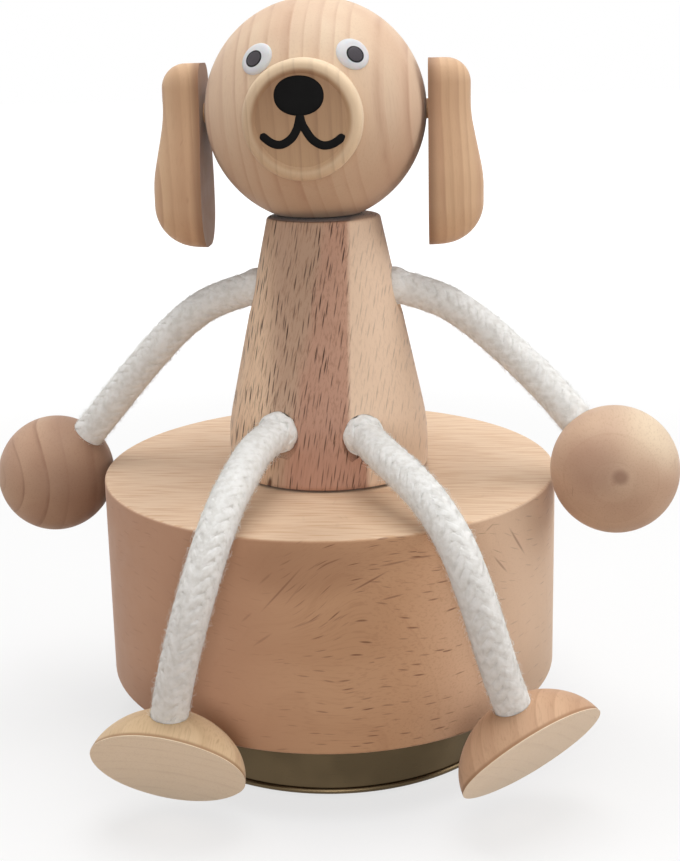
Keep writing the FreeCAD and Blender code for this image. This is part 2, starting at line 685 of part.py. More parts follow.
def make_cylinder():
    """Pinned cylinder with its pinion and the gear that drives the governor."""
    half_tooth = Rotation(Vector(0, 0, 1), 180 / size("pinion_teeth"))
    pinion = gear("cylinder_pinion", "pinion_pitch", "pinion_teeth", "pinion_pitch + tooth_rise",
                  "pinion_pitch - crown_height + crown_pitch_height - crown_gap", "shaft_radius",
                  "pinion_width")
    place(pinion, x="crown_pitch - pinion_width/2", z=SHAFT_Z, turn=ALONG_X.multiply(half_tooth))
    wheel = gear("cylinder_gear", "gear_pitch", "gear_teeth", "gear_pitch + fine_rise",
                 "gear_pitch - fine_rise - gear_gap", "shaft_radius", "gear_width")
    place(wheel, x=GEAR_X, z=SHAFT_Z, turn=ALONG_X)

    start = "(crown_pitch - pinion_width/2 - shaft_tail)"
    shaft = solid("Cylinder", "cylinder_arbor", Radius="shaft_radius",
                  Height=f"{FAR_X} + bracket_thick + shaft_proud - {start}")
    keep(place(shaft, x=start, z=SHAFT_Z, turn=ALONG_X), "cylinder_arbor")

    radius = size("barrel_radius")
    length = size(BARREL_LENGTH)
    bore = size("shaft_radius")
    wall = size("barrel_wall")
    tube = Part.makeCylinder(radius, length).cut(Part.makeCylinder(radius - wall, length))
    caps = [
        Part.makeCylinder(radius, wall, Vector(0, 0, z)).cut(Part.makeCylinder(bore, wall, Vector(0, 0, z)))
        for z in (0, length - wall)
    ]
    tracks = int(size("comb_teeth"))
    pins = []
    for number in range(int(size("pin_count"))):
        turn = math.radians(number * PIN_STEP)
        out = Vector(math.cos(turn), math.sin(turn), 0)
        height = length * (number % tracks + 0.5) / tracks
        start = out * (radius - wall / 2) + Vector(0, 0, height)
        pins.append(Part.makeCylinder(size("pin_radius"), size("pin_rise") + wall / 2, start, out))
    barrel = shape_piece("cylinder_barrel", tube.multiFuse(caps + pins).removeSplitter())
    place(barrel, x=BARREL_X, z=SHAFT_Z, turn=ALONG_X)


def make_comb():
    """Steel comb with its teeth cut from one plate."""
    body = new_body("comb")
    place(body, x=BARREL_X, z=COMB_BOTTOM)
    back = f"(-{COMB_TIP_Y} - comb_depth)"
    plate = draw(new_sketch(body), [
        ("0", back),
        (BARREL_LENGTH, back),
        (BARREL_LENGTH, f"-{COMB_TIP_Y}"),
        ("0", f"-{COMB_TIP_Y}"),
    ])
    pad(body, plate, "comb_thick")
    step = f"({BARREL_LENGTH}/comb_teeth)"
    slot = draw(new_sketch(body), [
        (f"{step} - comb_slot/2", f"-{COMB_TIP_Y} - comb_reach"),
        (f"{step} + comb_slot/2", f"-{COMB_TIP_Y} - comb_reach"),
        (f"{step} + comb_slot/2", f"-{COMB_TIP_Y} + comb_gap"),
        (f"{step} - comb_slot/2", f"-{COMB_TIP_Y} + comb_gap"),
    ])
    cut = pocket(body, slot, "comb_thick", back=True)
    row = body.newObject("PartDesign::LinearPattern", "comb_slots")
    row.Originals = [cut]
    row.Direction = (origin_item(body, "X_Axis"), [""])
    bind(row, Length=f"{step}*(comb_teeth - 2)", Occurrences="comb_teeth - 1")
    body.Tip = row
    for x in COMB_SCREW_X:
        drill(body, "small_screw_radius", "comb_thick", f"{x} - {BARREL_X}", COMB_SCREW_Y)
    group("comb_screws", [
        pan_screw(f"comb_screw{n}", x, COMB_SCREW_Y, f"{COMB_BOTTOM} + comb_thick", "small_screw_radius",
                  "small_screw_head", "small_screw_head_height", "comb_thick + small_screw_bite")
        for n, x in enumerate(COMB_SCREW_X)
    ])


def bracket(name, x, foot_start, foot_end):
    """Bent bracket: an upright with the shaft's bearing, and a foot for its screw."""
    body = new_body(name)
    place(body, z=BED_TOP)
    rise = f"({SHAFT_Z} - {BED_TOP})"
    half = "bracket_width/2"
    upright = draw(new_sketch(body, "YZ_Plane", x), [
        (f"-{half} - bracket_foot", "0"),
        (half, "0"),
        (half, rise),
        (f"-{half}", rise, f"{half}*{HALF_CIRCLE}", "left"),
        (f"-{half}", "bracket_web"),
        (f"-{half} - bracket_foot", "bracket_thick"),
    ])
    circle(upright, "shaft_radius + shaft_gap", "0", rise)
    pad(body, upright, "bracket_thick")
    foot = draw(new_sketch(body), [
        (foot_start, f"-{half} - bracket_foot"),
        (foot_end, f"-{half} - bracket_foot"),
        (foot_end, f"-{half} - bracket_slit"),
        (foot_start, f"-{half} - bracket_slit"),
    ])
    pad(body, foot, "bracket_foot_thick")
    return body


def make_brackets():
    far_face = f"{FAR_X} + bracket_thick"
    near = bracket("bearing_near", NEAR_X, NEAR_X, f"{NEAR_X} + bracket_foot")
    far = bracket("bearing_far", FAR_X, f"{far_face} - bracket_foot", far_face)
    for body, x in zip((near, far), BRACKET_SCREW_X):
        drill(body, "small_screw_radius", "bracket_thick", x, FOOT_SCREW_Y)
    group("bearing_screws", [
        pan_screw(f"bearing_screw{n}", x, FOOT_SCREW_Y, f"{BED_TOP} + bracket_foot_thick",
                  "small_screw_radius", "small_screw_head", "small_screw_head_height",
                  "bracket_foot_thick + small_screw_bite")
        for n, x in enumerate(BRACKET_SCREW_X)
    ])


def make_governor():
    """Speed governor: gear train, worm and fly in a bent frame."""
    wheel = gear("governor_pinion", "governor_pitch", "governor_teeth", "governor_pitch + fine_rise",
                 "governor_pitch - fine_rise - gear_gap", "governor_shaft", "gear_width")
    place(wheel, GEAR_X, GOVERNOR_Y, SHAFT_Z, ALONG_X)
    worm_wheel = gear("worm_wheel", "worm_wheel_pitch", "worm_wheel_teeth",
                      "worm_wheel_pitch + worm_wheel_tip", "worm_wheel_pitch - worm_wheel_tip - worm_gap",
                      "governor_shaft", "gear_width")
    place(worm_wheel, f"{WORM_WHEEL_X} - gear_width", GOVERNOR_Y, SHAFT_Z, ALONG_X)

    left = NEAR_X
    right = f"({WORM_WHEEL_X} + frame_room)"
    shaft = solid("Cylinder", "governor_arbor", Radius="governor_shaft",
                  Height=f"{right} + frame_sheet - {left} + 2*shaft_proud")
    keep(place(shaft, f"{left} - shaft_proud", GOVERNOR_Y, SHAFT_Z, ALONG_X), "governor_arbor")

    body = new_body("governor_frame")
    place(body, y=GOVERNOR_Y, z=BED_TOP)
    rise = f"({SHAFT_Z} - {BED_TOP} + frame_rise)"
    cradle = draw(new_sketch(body, "XZ_Plane", "-frame_width/2"), [
        (left, "0"),
        (f"{right} + frame_sheet", "0"),
        (f"{right} + frame_sheet", rise),
        (right, rise),
        (right, "frame_sheet"),
        (f"{left} + frame_sheet", "frame_sheet"),
        (f"{left} + frame_sheet", rise),
        (left, rise),
    ])
    pad(body, cradle, "frame_width")
    fly = "(worm_wheel_pitch + worm_pitch_radius)"
    post = f"({fly} + hook_room)"
    arm = f"({HOOK_Z} - {BED_TOP})"
    hook = draw(new_sketch(body, "YZ_Plane", f"{FLY_X} - hook_width/2"), [
        ("-frame_width/2 + hook_root", "0"),
        (f"{post} + frame_sheet", "0"),
        (f"{post} + frame_sheet", f"{arm} + frame_sheet"),
        (f"{fly} - hook_over", f"{arm} + frame_sheet"),
        (f"{fly} - hook_over", arm),
        (post, arm),
        (post, "frame_sheet"),
        ("-frame_width/2 + hook_root", "frame_sheet"),
    ])
    pad(body, hook, "hook_width")
    drill(body, "governor_shaft + shaft_gap", f"{right} - {left} + 3*frame_sheet", f"{left} - frame_sheet",
          "0", f"{SHAFT_Z} - {BED_TOP}", ALONG_X)
    drill(body, "fly_shaft + shaft_gap", f"{arm} + frame_sheet", FLY_X, fly, "fly_floor")
    drill(body, "small_screw_radius", "frame_sheet", GOVERNOR_SCREW_X)
    screw = pan_screw("governor_screw", GOVERNOR_SCREW_X, GOVERNOR_Y, f"{BED_TOP} + frame_sheet",
                      "small_screw_radius", "small_screw_head", "small_screw_head_height",
                      "frame_sheet + small_screw_bite")
    keep(screw, "governor_screw")


def make_fly():
    """Worm on an upright shaft, and the vane whose drag holds the tune's speed."""
    lead = 2 * math.pi * size("worm_wheel_pitch") / size("worm_wheel_teeth")
    vane_bottom = f"({HOOK_Z} + frame_sheet + vane_gap)"
    bottom = size(f"{BED_TOP} + fly_end")
    reach = size(f"{vane_bottom} + vane_height + fly_proud") - bottom
    core = size("worm_pitch_radius - worm_wheel_tip - worm_gap")
    tip = size("worm_pitch_radius + worm_wheel_tip")
    root = core - size("tooth_root")
    turns = size("worm_turns")
    start = size(SHAFT_Z) - lead * turns / 2
    shaft = Part.makeCylinder(size("fly_shaft"), reach, Vector(0, 0, bottom))
    drum = Part.makeCylinder(core, lead * (turns + 1), Vector(0, 0, start - lead / 2))
    helix = Part.Wire(Part.makeHelix(lead, lead * turns, core))
    wide, narrow = (lead * share for share in WORM_TOOTH)
    corners = [
        Vector(root, 0, -wide),
        Vector(tip, 0, -narrow),
        Vector(tip, 0, narrow),
        Vector(root, 0, wide),
    ]
    thread = helix.makePipeShell([Part.makePolygon(corners + corners[:1])], True, True)
    thread.Placement = Placement(Vector(0, 0, start), Rotation(Vector(0, 0, 1), 90))
    worm = shape_piece("worm", drum.fuse([shaft, thread]))
    place(worm, FLY_X, FLY_Y)

    body = new_body("fly_vane")
    place(body, FLY_X, FLY_Y, vane_bottom)
    hub = circle(new_sketch(body), "fly_shaft + vane_hub")
    circle(hub, "fly_shaft")
    pad(body, hub, "vane_height")
    wing = draw(new_sketch(body), [
        ("fly_shaft + vane_hub/2", "-vane_thick/2"),
        ("vane_radius", "-vane_thick/2"),
        ("vane_radius", "vane_thick/2"),
        ("fly_shaft + vane_hub/2", "vane_thick/2"),
    ])
    around(body, pad(body, wing, "vane_height"), "2")


# The cords' middle lines: shoulders and hips first, ends inside the hands and paws last.
ARM_LEFT = [
    (-14.2, 0.0, 94.5), (-22.8, 0.0, 92.4), (-30.4, 0.1, 87.2), (-37.1, 0.4, 80.3),
    (-43.4, 0.9, 73.1), (-49.8, 1.5, 65.4), (-56.4, 2.3, 57.8),
]
ARM_RIGHT = [
    (14.2, 0.0, 94.5), (22.3, -0.4, 92.7), (29.6, -2.2, 88.6), (36.2, -4.8, 83.3),
    (42.4, -7.7, 77.8), (48.7, -11.3, 71.6), (54.2, -15.4, 65.0),
]
LEG_LEFT = [
    (-8.5, -18.4, 68.2), (-11.9, -26.6, 67.4), (-13.3, -35.9, 65.3), (-15.3, -44.6, 62.0),
    (-17.3, -51.1, 56.1), (-19.6, -54.9, 48.3), (-22.3, -55.7, 38.9), (-24.9, -54.6, 28.9),
    (-26.9, -52.2, 18.9),
]
LEG_RIGHT = [
    (8.5, -18.4, 67.6), (12.7, -27.6, 66.4), (17.8, -36.2, 64.6), (22.7, -42.8, 61.1),
    (26.9, -47.7, 55.1), (30.0, -50.3, 47.1), (32.7, -50.7, 37.9), (35.4, -49.6, 28.4),
    (38.7, -47.3, 19.2),
]
# Each hind paw: the middle of its sole, the way its heel points and the way its dome looks.
PAW_LEFT = {"sole": (-27.2, -53.3, 13.7), "heel": (0.966, -0.243, 0.089), "dome": (0.154, 0.815, 0.558)}
PAW_RIGHT = {"sole": (40.7, -47.6, 15.3), "heel": (-0.837, -0.497, -0.229), "dome": (-0.525, 0.613, 0.591)}
TAPER = "((torso_radius - torso_top)/(torso_height - torso_belly))"
SHOULDER_RADIUS = f"(torso_radius - {TAPER}*({SHOULDER} - torso_belly))"


def turned_to(direction):
    """The rotation that lays a cylinder's own Z axis along a direction."""
    return Rotation(Vector(0, 0, 1), direction)


def from_axis(point):
    return math.hypot(point.x, point.y)


def led(points, rise, root_radius, reach, hangs):
    """A cord's chosen points, moved with what it is tied to and goes round. The first keeps to the
    body's skin and rises by the amount given; the last comes to the reach given, and keeps its height if
    the cord hangs. The points between are pushed outwards by more and more, up to the drum's rim."""
    root, end = points[0], points[-1]
    root_push = root_radius - from_axis(root)
    end_push = reach - from_axis(end)
    moved = []
    for point in points:
        share = (from_axis(point) - from_axis(root)) / (size("box_radius") - from_axis(root))
        push = root_push + (end_push - root_push) * min(share, 1)
        lift = rise * (point.z - end.z) / (root.z - end.z) if hangs else rise
        moved.append(point + Vector(point.x, point.y, 0) * (push / from_axis(point)) + Vector(0, 0, lift))
    return moved


def hand_centre(points):
    """The hand's middle lies beyond the cord's end, which is let into it."""
    return points[-1] + (points[-1] - points[-2]).normalize() * size("hand_radius - hand_seat")


def arm_route(points):
    """It starts at the shoulder and keeps the hand clear of the drum's side."""
    points = [Vector(*point) for point in points]
    rise = size(SHOULDER_Z) - points[0].z
    push = size("box_radius + hand_radius + hand_gap") - from_axis(hand_centre(points))
    return led(points, rise, size(f"{SHOULDER_RADIUS} - shoulder_sink"), from_axis(points[-1]) + push, False)


def leg_route(points, paw, hip, stand):
    """It starts at the hip and ends in the paw, which hangs beside the drum. The last point returned is
    the middle of the paw's sole."""
    points = [Vector(*point) for point in points + [paw["sole"]]]
    rise = size(f"{BOX_TOP} + {hip}") - points[0].z
    return led(points, rise, size("torso_radius + hip_out"), size(f"box_radius + {stand}"), True)


ARMS = {"left": arm_route(ARM_LEFT), "right": arm_route(ARM_RIGHT)}
LEGS = {
    "left": leg_route(LEG_LEFT, PAW_LEFT, "hip_left", "paw_stand_left"),
    "right": leg_route(LEG_RIGHT, PAW_RIGHT, "hip_right", "paw_stand_right"),
}
PAWS = {"left": PAW_LEFT, "right": PAW_RIGHT}


def new_mouth(body, depth):
    """A limb hole's chamfer: a cone that opens as fast as it runs, from its depth to well outside."""
    mouth = body.newObject("PartDesign::SubtractiveCone", depth)
    return bind(mouth, Radius1="limb_hole", Radius2=f"limb_hole + 3*{depth}", Height=f"3*{depth}")


def make_torso():
    """Turned beech cone: its belly runs over into a straight taper."""
    body = new_body("torso")
    place(body, z=BOX_TOP)
    lean = f"sqrt(1 + {TAPER}^2)"
    belly_radius = f"(torso_radius + belly_round*(1 - 1/{lean}))"
    belly_start = f"(torso_belly - belly_round*{TAPER}/{lean})"
    outline = [("torso_screw_radius", "0")]
    outline += rounded(belly_radius, "0", "torso_edge", "left", (1, 0), (0, 1))
    outline += [
        (belly_radius, belly_start),
        ("torso_radius", "torso_belly", "belly_round", "left"),
    ]
    outline += [
        (f"torso_top + torso_top_edge*{TAPER}", "torso_height - torso_top_edge"),
        ("torso_top - torso_top_edge", "torso_height", "torso_top_edge", "left"),
        ("neck_radius", "torso_height"),
        ("neck_radius", "torso_height - neck_sink"),
        ("0", "torso_height - neck_sink"),
        ("0", "torso_screw_reach"),
        ("torso_screw_radius", "torso_screw_reach - torso_screw_radius"),
    ]
    revolve(body, draw(new_sketch(body, "XZ_Plane"), outline))
    drill(body, "limb_hole", "4*torso_radius", "-2*torso_radius", "0", SHOULDER, ALONG_X)
    for side in (1, -1):
        mouth = new_mouth(body, "arm_mouth")
        place(mouth, f"({side})*({SHOULDER_RADIUS} - arm_mouth)", "0", SHOULDER,
              Rotation(Vector(0, 1, 0), 90 * side))
    for route in LEGS.values():
        out = (route[1] - route[0]).normalize()
        base = route[0] - Vector(0, 0, size(BOX_TOP))
        hole = body.newObject("PartDesign::SubtractiveCylinder", "leg_hole")
        hole.Placement = Placement(base - out * size("leg_hole_depth"), turned_to(out))
        bind(hole, Radius="limb_hole", Height="leg_hole_depth + leg_hole_run")
        mouth = new_mouth(body, "leg_mouth")
        mouth.Placement = Placement(base - out * size("leg_mouth"), turned_to(out))


def make_torso_screw():
    """It holds the dog on the drum, from inside the pocket."""
    body = new_body("torso_screw")
    place(body, z=ROOF)
    reach = "(box_roof + torso_screw_reach)"
    outline = [
        ("0", "0"),
        ("torso_screw_head", "0"),
        ("torso_screw_radius", "torso_screw_sink"),
        ("torso_screw_radius", f"{reach} - torso_screw_radius"),
        ("0", reach),
    ]
    revolve(body, draw(new_sketch(body, "XZ_Plane"), outline))


def make_neck():
    dowel = solid("Cylinder", "neck_dowel", Radius="neck_radius", Height="neck_sink + neck_height")
    keep(place(dowel, z=f"{BOX_TOP} + torso_height - neck_sink"), "neck_dowel")


def make_limb_cores():
    """The cord ends that are glued inside the body."""
    room = "(cord_radius + core_gap)"
    half = f"({SHOULDER_RADIUS} - shoulder_sink - {room})"
    core = solid("Cylinder", "arm_cord_core", Radius="limb_hole", Height=f"2*{half}")
    keep(place(core, f"-{half}", "0", SHOULDER_Z, ALONG_X), "arm_cord_core")
    for side, route in LEGS.items():
        name = f"leg_cord_core_{side}"
        out = (route[1] - route[0]).normalize()
        core = solid("Cylinder", name, Radius="limb_hole", Height=f"leg_hole_depth - {room}")
        core.Placement = Placement(route[0] - out * size("leg_hole_depth"), turned_to(out))
        keep(core, name)


MUZZLE_TURN = Rotation(Vector(0, 0, 1), -1.5).multiply(Rotation(Vector(1, 0, 0), 92))
MUZZLE_SEAT = "sqrt(head_radius^2 - spigot_radius^2)"
HEAD_X, HEAD_Y = "head_shift_x", "head_shift_y"


def make_head():
    """Ball with a flat under it, bored for the neck, the muzzle and the ear pegs."""
    body = new_body("head_ball")
    place(body, HEAD_X, HEAD_Y, HEAD_Z)
    outline = [
        ("0", f"-{HEAD_FLAT_DROP}"),
        ("head_flat", f"-{HEAD_FLAT_DROP}"),
        ("head_radius", "0", "head_radius", "left"),
        ("0", "head_radius", "head_radius", "left"),
    ]
    revolve(body, draw(new_sketch(body, "XZ_Plane"), outline))
    drill(body, "neck_radius + neck_gap", "neck_height - head_gap + dowel_room + drill_run",
          f"-{HEAD_X}", f"-{HEAD_Y}", f"-{HEAD_FLAT_DROP} - drill_run")
    for side in (1, -1):
        drill(body, "ear_peg_radius", "ear_peg_sink + drill_run", f"({side})*(head_radius - ear_peg_sink)",
              turn=Rotation(Vector(0, 1, 0), 90 * side))
    out = MUZZLE_TURN.multVec(Vector(0, 0, 1))
    steps = [f"({MUZZLE_SEAT} - spigot_length)*({part:.6f})" for part in out]
    drill(body, "spigot_radius", "head_radius", *steps, turn=MUZZLE_TURN)


def make_muzzle():
    """Turned disc, its back scooped to the ball, with a spigot that is glued into the head. Its face is
    dished inside a rounded rim."""
    body = new_body("muzzle")
    place(body, HEAD_X, HEAD_Y, HEAD_Z, MUZZLE_TURN)
    side = "sqrt(head_radius^2 - muzzle_radius^2)"
    crest = "(head_radius + muzzle_stand)"
    fall = "(muzzle_rim - muzzle_round)"
    outline = [
        ("0", f"{MUZZLE_SEAT} - spigot_length"),
        ("spigot_radius", f"{MUZZLE_SEAT} - spigot_length"),
        ("spigot_radius", MUZZLE_SEAT),
        ("muzzle_radius", side, "head_radius", "right"),
    ]
    outline += rounded("muzzle_radius", crest, "muzzle_round", "left", (0, 1), (-1, 0))
    outline += [
        ("muzzle_radius - muzzle_rim", f"{crest} - muzzle_dish",
         f"({fall}^2 + muzzle_dish^2)/(2*muzzle_dish)", "left"),
        ("0", f"{crest} - muzzle_dish"),
    ]
    revolve(body, draw(new_sketch(body, "XZ_Plane"), outline))


def eased(points, radii=None):
    """Edges along straight runs joined by arcs of the radii given, or as large as the runs allow.
    Returns the edges and the radii."""
    edges = []
    drawn = []
    start = points[0]
    for before, corner, after in zip(points, points[1:], points[2:]):
        way_in = (corner - before).normalize()
        way_out = (after - corner).normalize()
        half = way_in.getAngle(way_out) / 2
        if radii:
            radius = radii[len(drawn)]
        else:
            run = min((corner - before).Length, (after - corner).Length)
            radius = ARC_SHARE * run / math.tan(half)
        cut = radius * math.tan(half)
        middle = corner + (way_out - way_in).normalize() * (radius / math.cos(half) - radius)
        leave, enter = corner - way_in * cut, corner + way_out * cut
        edges += [Part.LineSegment(start, leave).toShape(), Part.Arc(leave, middle, enter).toShape()]
        drawn.append(round(radius, 1))
        start = enter
    edges.append(Part.LineSegment(start, points[-1]).toShape())
    return edges, drawn


def make_ears():
    """Half-round flaps with a flat inner face: a half turn of a profile that is thin at the top and
    droops to a thick lower end, drawn in from front to back. No feature draws a turned solid in, so the
    shape is made directly."""
    corners = [
        ("0", "ear_top"),
        ("ear_thin", "ear_top"),
        ("ear_thin", "-ear_waist"),
        ("ear_thick", "-ear_belly"),
        ("ear_thick", "-ear_bottom"),
        ("0", "-ear_bottom"),
    ]
    points = [Vector(size(x), 0, size(z)) for x, z in corners]
    radii = [size(name) for name in ("ear_corner", "ear_bend", "ear_bend", "ear_round")]
    edges, _ = eased(points, radii)
    edges.append(Part.LineSegment(points[-1], points[0]).toShape())
    face = Part.Face(Part.Wire(edges))
    half_turn = face.revolve(Vector(), Vector(0, 0, 1), 180)
    half_turn.rotate(Vector(), Vector(0, 0, 1), -90)
    squeeze = Matrix()
    squeeze.scale(1, size("ear_half_depth/ear_thick"), 1)
    flap = half_turn.transformGeometry(squeeze)
    reach = size("ear_peg_reach")
    hole = Part.makeCylinder(size("ear_peg_radius"), reach, Vector(), Vector(1, 0, 0))
    flap = flap.cut(hole)
    for side, name in ((-1, "left"), (1, "right")):
        shape = flap if side > 0 else flap.mirror(Vector(), Vector(1, 0, 0))
        item = shape_piece(f"ear_{name}", shape)
        place(item, f"({side})*(head_radius + ear_gap) + {HEAD_X}", HEAD_Y, HEAD_Z)
        peg = solid("Cylinder", f"ear_peg_{name}", Radius="ear_peg_radius",
                    Height="ear_peg_sink + ear_gap + ear_peg_reach")
        place(peg, f"({side})*(head_radius - ear_peg_sink) + {HEAD_X}", HEAD_Y, HEAD_Z,
              Rotation(Vector(0, 1, 0), 90 * side))
        keep(peg, f"ear_peg_{name}")


def cord(name, points):
    """A round cord. Its root is a ball about the joint's pivot, so that it can swing in its hole."""
    radius = size("cord_radius")
    edges, radii = eased(points)
    path = Part.Wire(edges)
    out = (points[1] - points[0]).normalize()
    ring = Part.Wire(Part.makeCircle(radius, points[0], out))
    tube = path.makePipeShell([ring], True, False)
    share = tube.Volume / (math.pi * radius ** 2 * path.Length)
    print(name, "radii", radii, "length", round(path.Length, 1), "volume share", round(share, 4))
    root = Part.makeSphere(radius, Vector(), Vector(0, 0, 1), 0, 90)
    root.Placement = Placement(points[0], turned_to(-out))
    shape_piece(name, tube.fuse(root))


def make_arms():
    for side, route in ARMS.items():
        cord(f"arm_cord_{side}", route)
        ball = solid("Sphere", f"hand_turned_{side}", Radius="hand_radius")
        ball.Placement.Base = hand_centre(route)
        hole = solid("Cylinder", f"hand_hole_{side}", Radius="cord_radius", Height="2*hand_radius")
        hole.Placement = Placement(route[-1], turned_to(route[-2] - route[-1]))
        hand = doc.addObject("Part::Cut", f"hand_ball_{side}")
        hand.Base = ball
        hand.Tool = hole
        keep(hand, f"hand_ball_{side}")


def egg_side(reach, end_round):
    """Radius of the egg's side that runs over into an end of the radius given."""
    middle = f"({reach} - {end_round})"
    return f"(({middle}^2 + egg_radius^2 - {end_round}^2)/(2*(egg_radius - {end_round})))"


def egg_joint(reach, end_round):
    """Where the egg's side and end meet: the distance along the egg, and from its axis."""
    side = egg_side(reach, end_round)
    along = f"({side}*({reach} - {end_round})/({side} - {end_round}))"
    away = f"({end_round}*({side} - egg_radius)/({side} - {end_round}))"
    return along, away


def make_paw(name, ways, sole, end, back):
    """A turned egg sawn lengthwise: flat sole below, its heel towards the body's own +X. The cord's end
    is let into it from behind."""
    body = new_body(name)
    toe_x, toe_y = egg_joint("egg_toe", "toe_round")
    heel_x, heel_y = egg_joint("egg_heel", "heel_round")
    outline = [
        ("-egg_toe", "0"),
        (f"-{toe_x}", toe_y, "toe_round", "right"),
        ("0", "egg_radius", egg_side("egg_toe", "toe_round"), "right"),
        (heel_x, heel_y, egg_side("egg_heel", "heel_round"), "right"),
        ("egg_heel", "0", "heel_round", "right"),
    ]
    revolve(body, draw(new_sketch(body, "XZ_Plane"), outline), "H_Axis")
    waste = body.newObject("PartDesign::SubtractiveBox", name + "_sole")
    place(waste, "-2*egg_heel", "-2*egg_radius", "paw_cut - 2*egg_radius")
    bind(waste, Length="4*egg_heel", Width="4*egg_radius", Height="2*egg_radius")
    dome = Vector(*ways["dome"]).normalize()
    side = dome.cross(Vector(*ways["heel"])).normalize()
    turn = Rotation(side.cross(dome), side, dome, "ZXY")
    body.Placement = Placement(sole - dome * size("paw_cut"), turn)
    hole = body.newObject("PartDesign::SubtractiveCylinder", name + "_hole")
    hole.Placement = body.Placement.inverse().multiply(Placement(end, turned_to(back)))
    bind(hole, Radius="cord_radius", Height="2*egg_heel")


def make_legs():
    for side, route in LEGS.items():
        *points, sole = route
        cord(f"leg_cord_{side}", points)
        make_paw(f"hind_paw_{side}", PAWS[side], sole, points[-1], points[-2] - points[-1])


def main():
    for make in (make_foot_pad, make_foot_cup, make_foot_screw, make_winding_arbor, make_great_wheel,
                 make_ratchet, make_base_housing, make_base_plate, make_bedplate, make_spring_housing,
                 make_mainspring, make_cylinder, make_comb, make_brackets, make_governor, make_fly,
                 make_torso, make_torso_screw, make_neck, make_limb_cores, make_head, make_muzzle,
                 make_ears, make_arms, make_legs):
        make()
    doc.recompute()
    bad = [item.Name for item in doc.Objects if {"Invalid", "Error"} & set(item.State)]
    bad += [item.Label for item in pieces if item.Shape.isNull() or not item.Shape.isValid()]
    bad += [item.Label for item in pieces if not item.Shape.Solids]
    if bad:
        raise RuntimeError("these did not build: " + ", ".join(bad))
    os.makedirs("parts", exist_ok=True)
    for item in pieces:
        item.Shape.exportStep(f"parts/{item.Label}.step")
    print(len(pieces), "pieces")


main()
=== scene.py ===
"""Looks of a wooden music box with a dog figure on it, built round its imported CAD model.

Places are in metres in the CAD's own frame: z is up from the table and -y is the dog's front.
Materials are worked out in millimetres of the real wood, cord and metal.
"""
import math
import random
from functools import partial

import bpy
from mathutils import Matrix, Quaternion, Vector


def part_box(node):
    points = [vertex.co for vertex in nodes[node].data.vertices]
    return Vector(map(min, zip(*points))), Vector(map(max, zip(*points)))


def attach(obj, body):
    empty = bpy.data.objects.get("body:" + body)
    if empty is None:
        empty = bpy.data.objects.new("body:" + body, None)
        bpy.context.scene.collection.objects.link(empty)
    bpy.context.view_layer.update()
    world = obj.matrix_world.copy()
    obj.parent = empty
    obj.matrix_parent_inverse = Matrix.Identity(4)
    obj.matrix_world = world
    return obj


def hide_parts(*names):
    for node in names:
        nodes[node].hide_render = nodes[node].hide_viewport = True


MM = 0.001
PER_MM = 1000
QUARTER = math.pi / 2

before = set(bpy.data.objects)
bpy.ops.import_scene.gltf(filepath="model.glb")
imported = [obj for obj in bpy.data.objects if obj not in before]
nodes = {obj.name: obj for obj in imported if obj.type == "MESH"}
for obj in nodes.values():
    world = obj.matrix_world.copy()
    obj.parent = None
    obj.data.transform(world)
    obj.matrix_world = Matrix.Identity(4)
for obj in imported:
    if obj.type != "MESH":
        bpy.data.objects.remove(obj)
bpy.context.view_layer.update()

# Camera of the photograph
IMAGE_WIDTH, IMAGE_HEIGHT = 680, 861
FOCAL_PIXELS = 1362
OPTICAL_CENTRE = (327, 359)
CAMERA_AZIMUTH = math.radians(5)
CAMERA_ELEVATION = math.radians(12.73)
CAMERA_ROLL = math.radians(-1.4)
CAMERA_DISTANCE = 0.286
CAMERA_AIM = Vector((0, 0, 0.07898))
SENSOR_WIDTH = 36

# Cord routes from where a cord leaves its wood to where it goes into the next
CORD_DIAMETER = 0.007
CORD_RADIUS = CORD_DIAMETER / 2
ROUTES = {
    "arm_cord_left": [
        (-0.0142, 0.0, 0.0945), (-0.0228, 0.0, 0.0924), (-0.0304, 0.0001, 0.0872),
        (-0.0371, 0.0004, 0.0803), (-0.0434, 0.0009, 0.0731), (-0.0498, 0.0015, 0.0654),
        (-0.0564, 0.0023, 0.0578),
    ],
    "arm_cord_right": [
        (0.0142, 0.0, 0.0945), (0.0223, -0.0004, 0.0927), (0.0296, -0.0022, 0.0886),
        (0.0362, -0.0048, 0.0833), (0.0424, -0.0077, 0.0778), (0.0487, -0.0113, 0.0716),
        (0.0542, -0.0154, 0.0650),
    ],
    "leg_cord_left": [
        (-0.0085, -0.0184, 0.0682), (-0.0119, -0.0266, 0.0674), (-0.0133, -0.0359, 0.0653),
        (-0.0153, -0.0446, 0.0620), (-0.0173, -0.0511, 0.0561), (-0.0196, -0.0549, 0.0483),
        (-0.0223, -0.0557, 0.0389), (-0.0249, -0.0546, 0.0289), (-0.0269, -0.0522, 0.0189),
    ],
    "leg_cord_right": [
        (0.0085, -0.0184, 0.0676), (0.0127, -0.0276, 0.0664), (0.0178, -0.0362, 0.0646),
        (0.0227, -0.0428, 0.0611), (0.0269, -0.0477, 0.0551), (0.0300, -0.0503, 0.0471),
        (0.0327, -0.0507, 0.0379), (0.0354, -0.0496, 0.0284), (0.0387, -0.0473, 0.0192),
    ],
}

# Head and face
HEAD_RADIUS = 0.0225
HEAD_CENTRE = Vector((-0.0012, 0.0015, 0.13031))
MUZZLE_AXIS = Vector((-0.026161, -0.999048, -0.0349)).normalized()
MUZZLE_FACE = 0.0235
NOSE_PLACE = (-0.00034, 0.00461)
NOSE_HALF_AXES = (0.0047, 0.0037)
NOSE_THICKNESS = 0.00018
MOUTH_WIDTH = 0.0016
MOUTH_THICKNESS = 0.0001
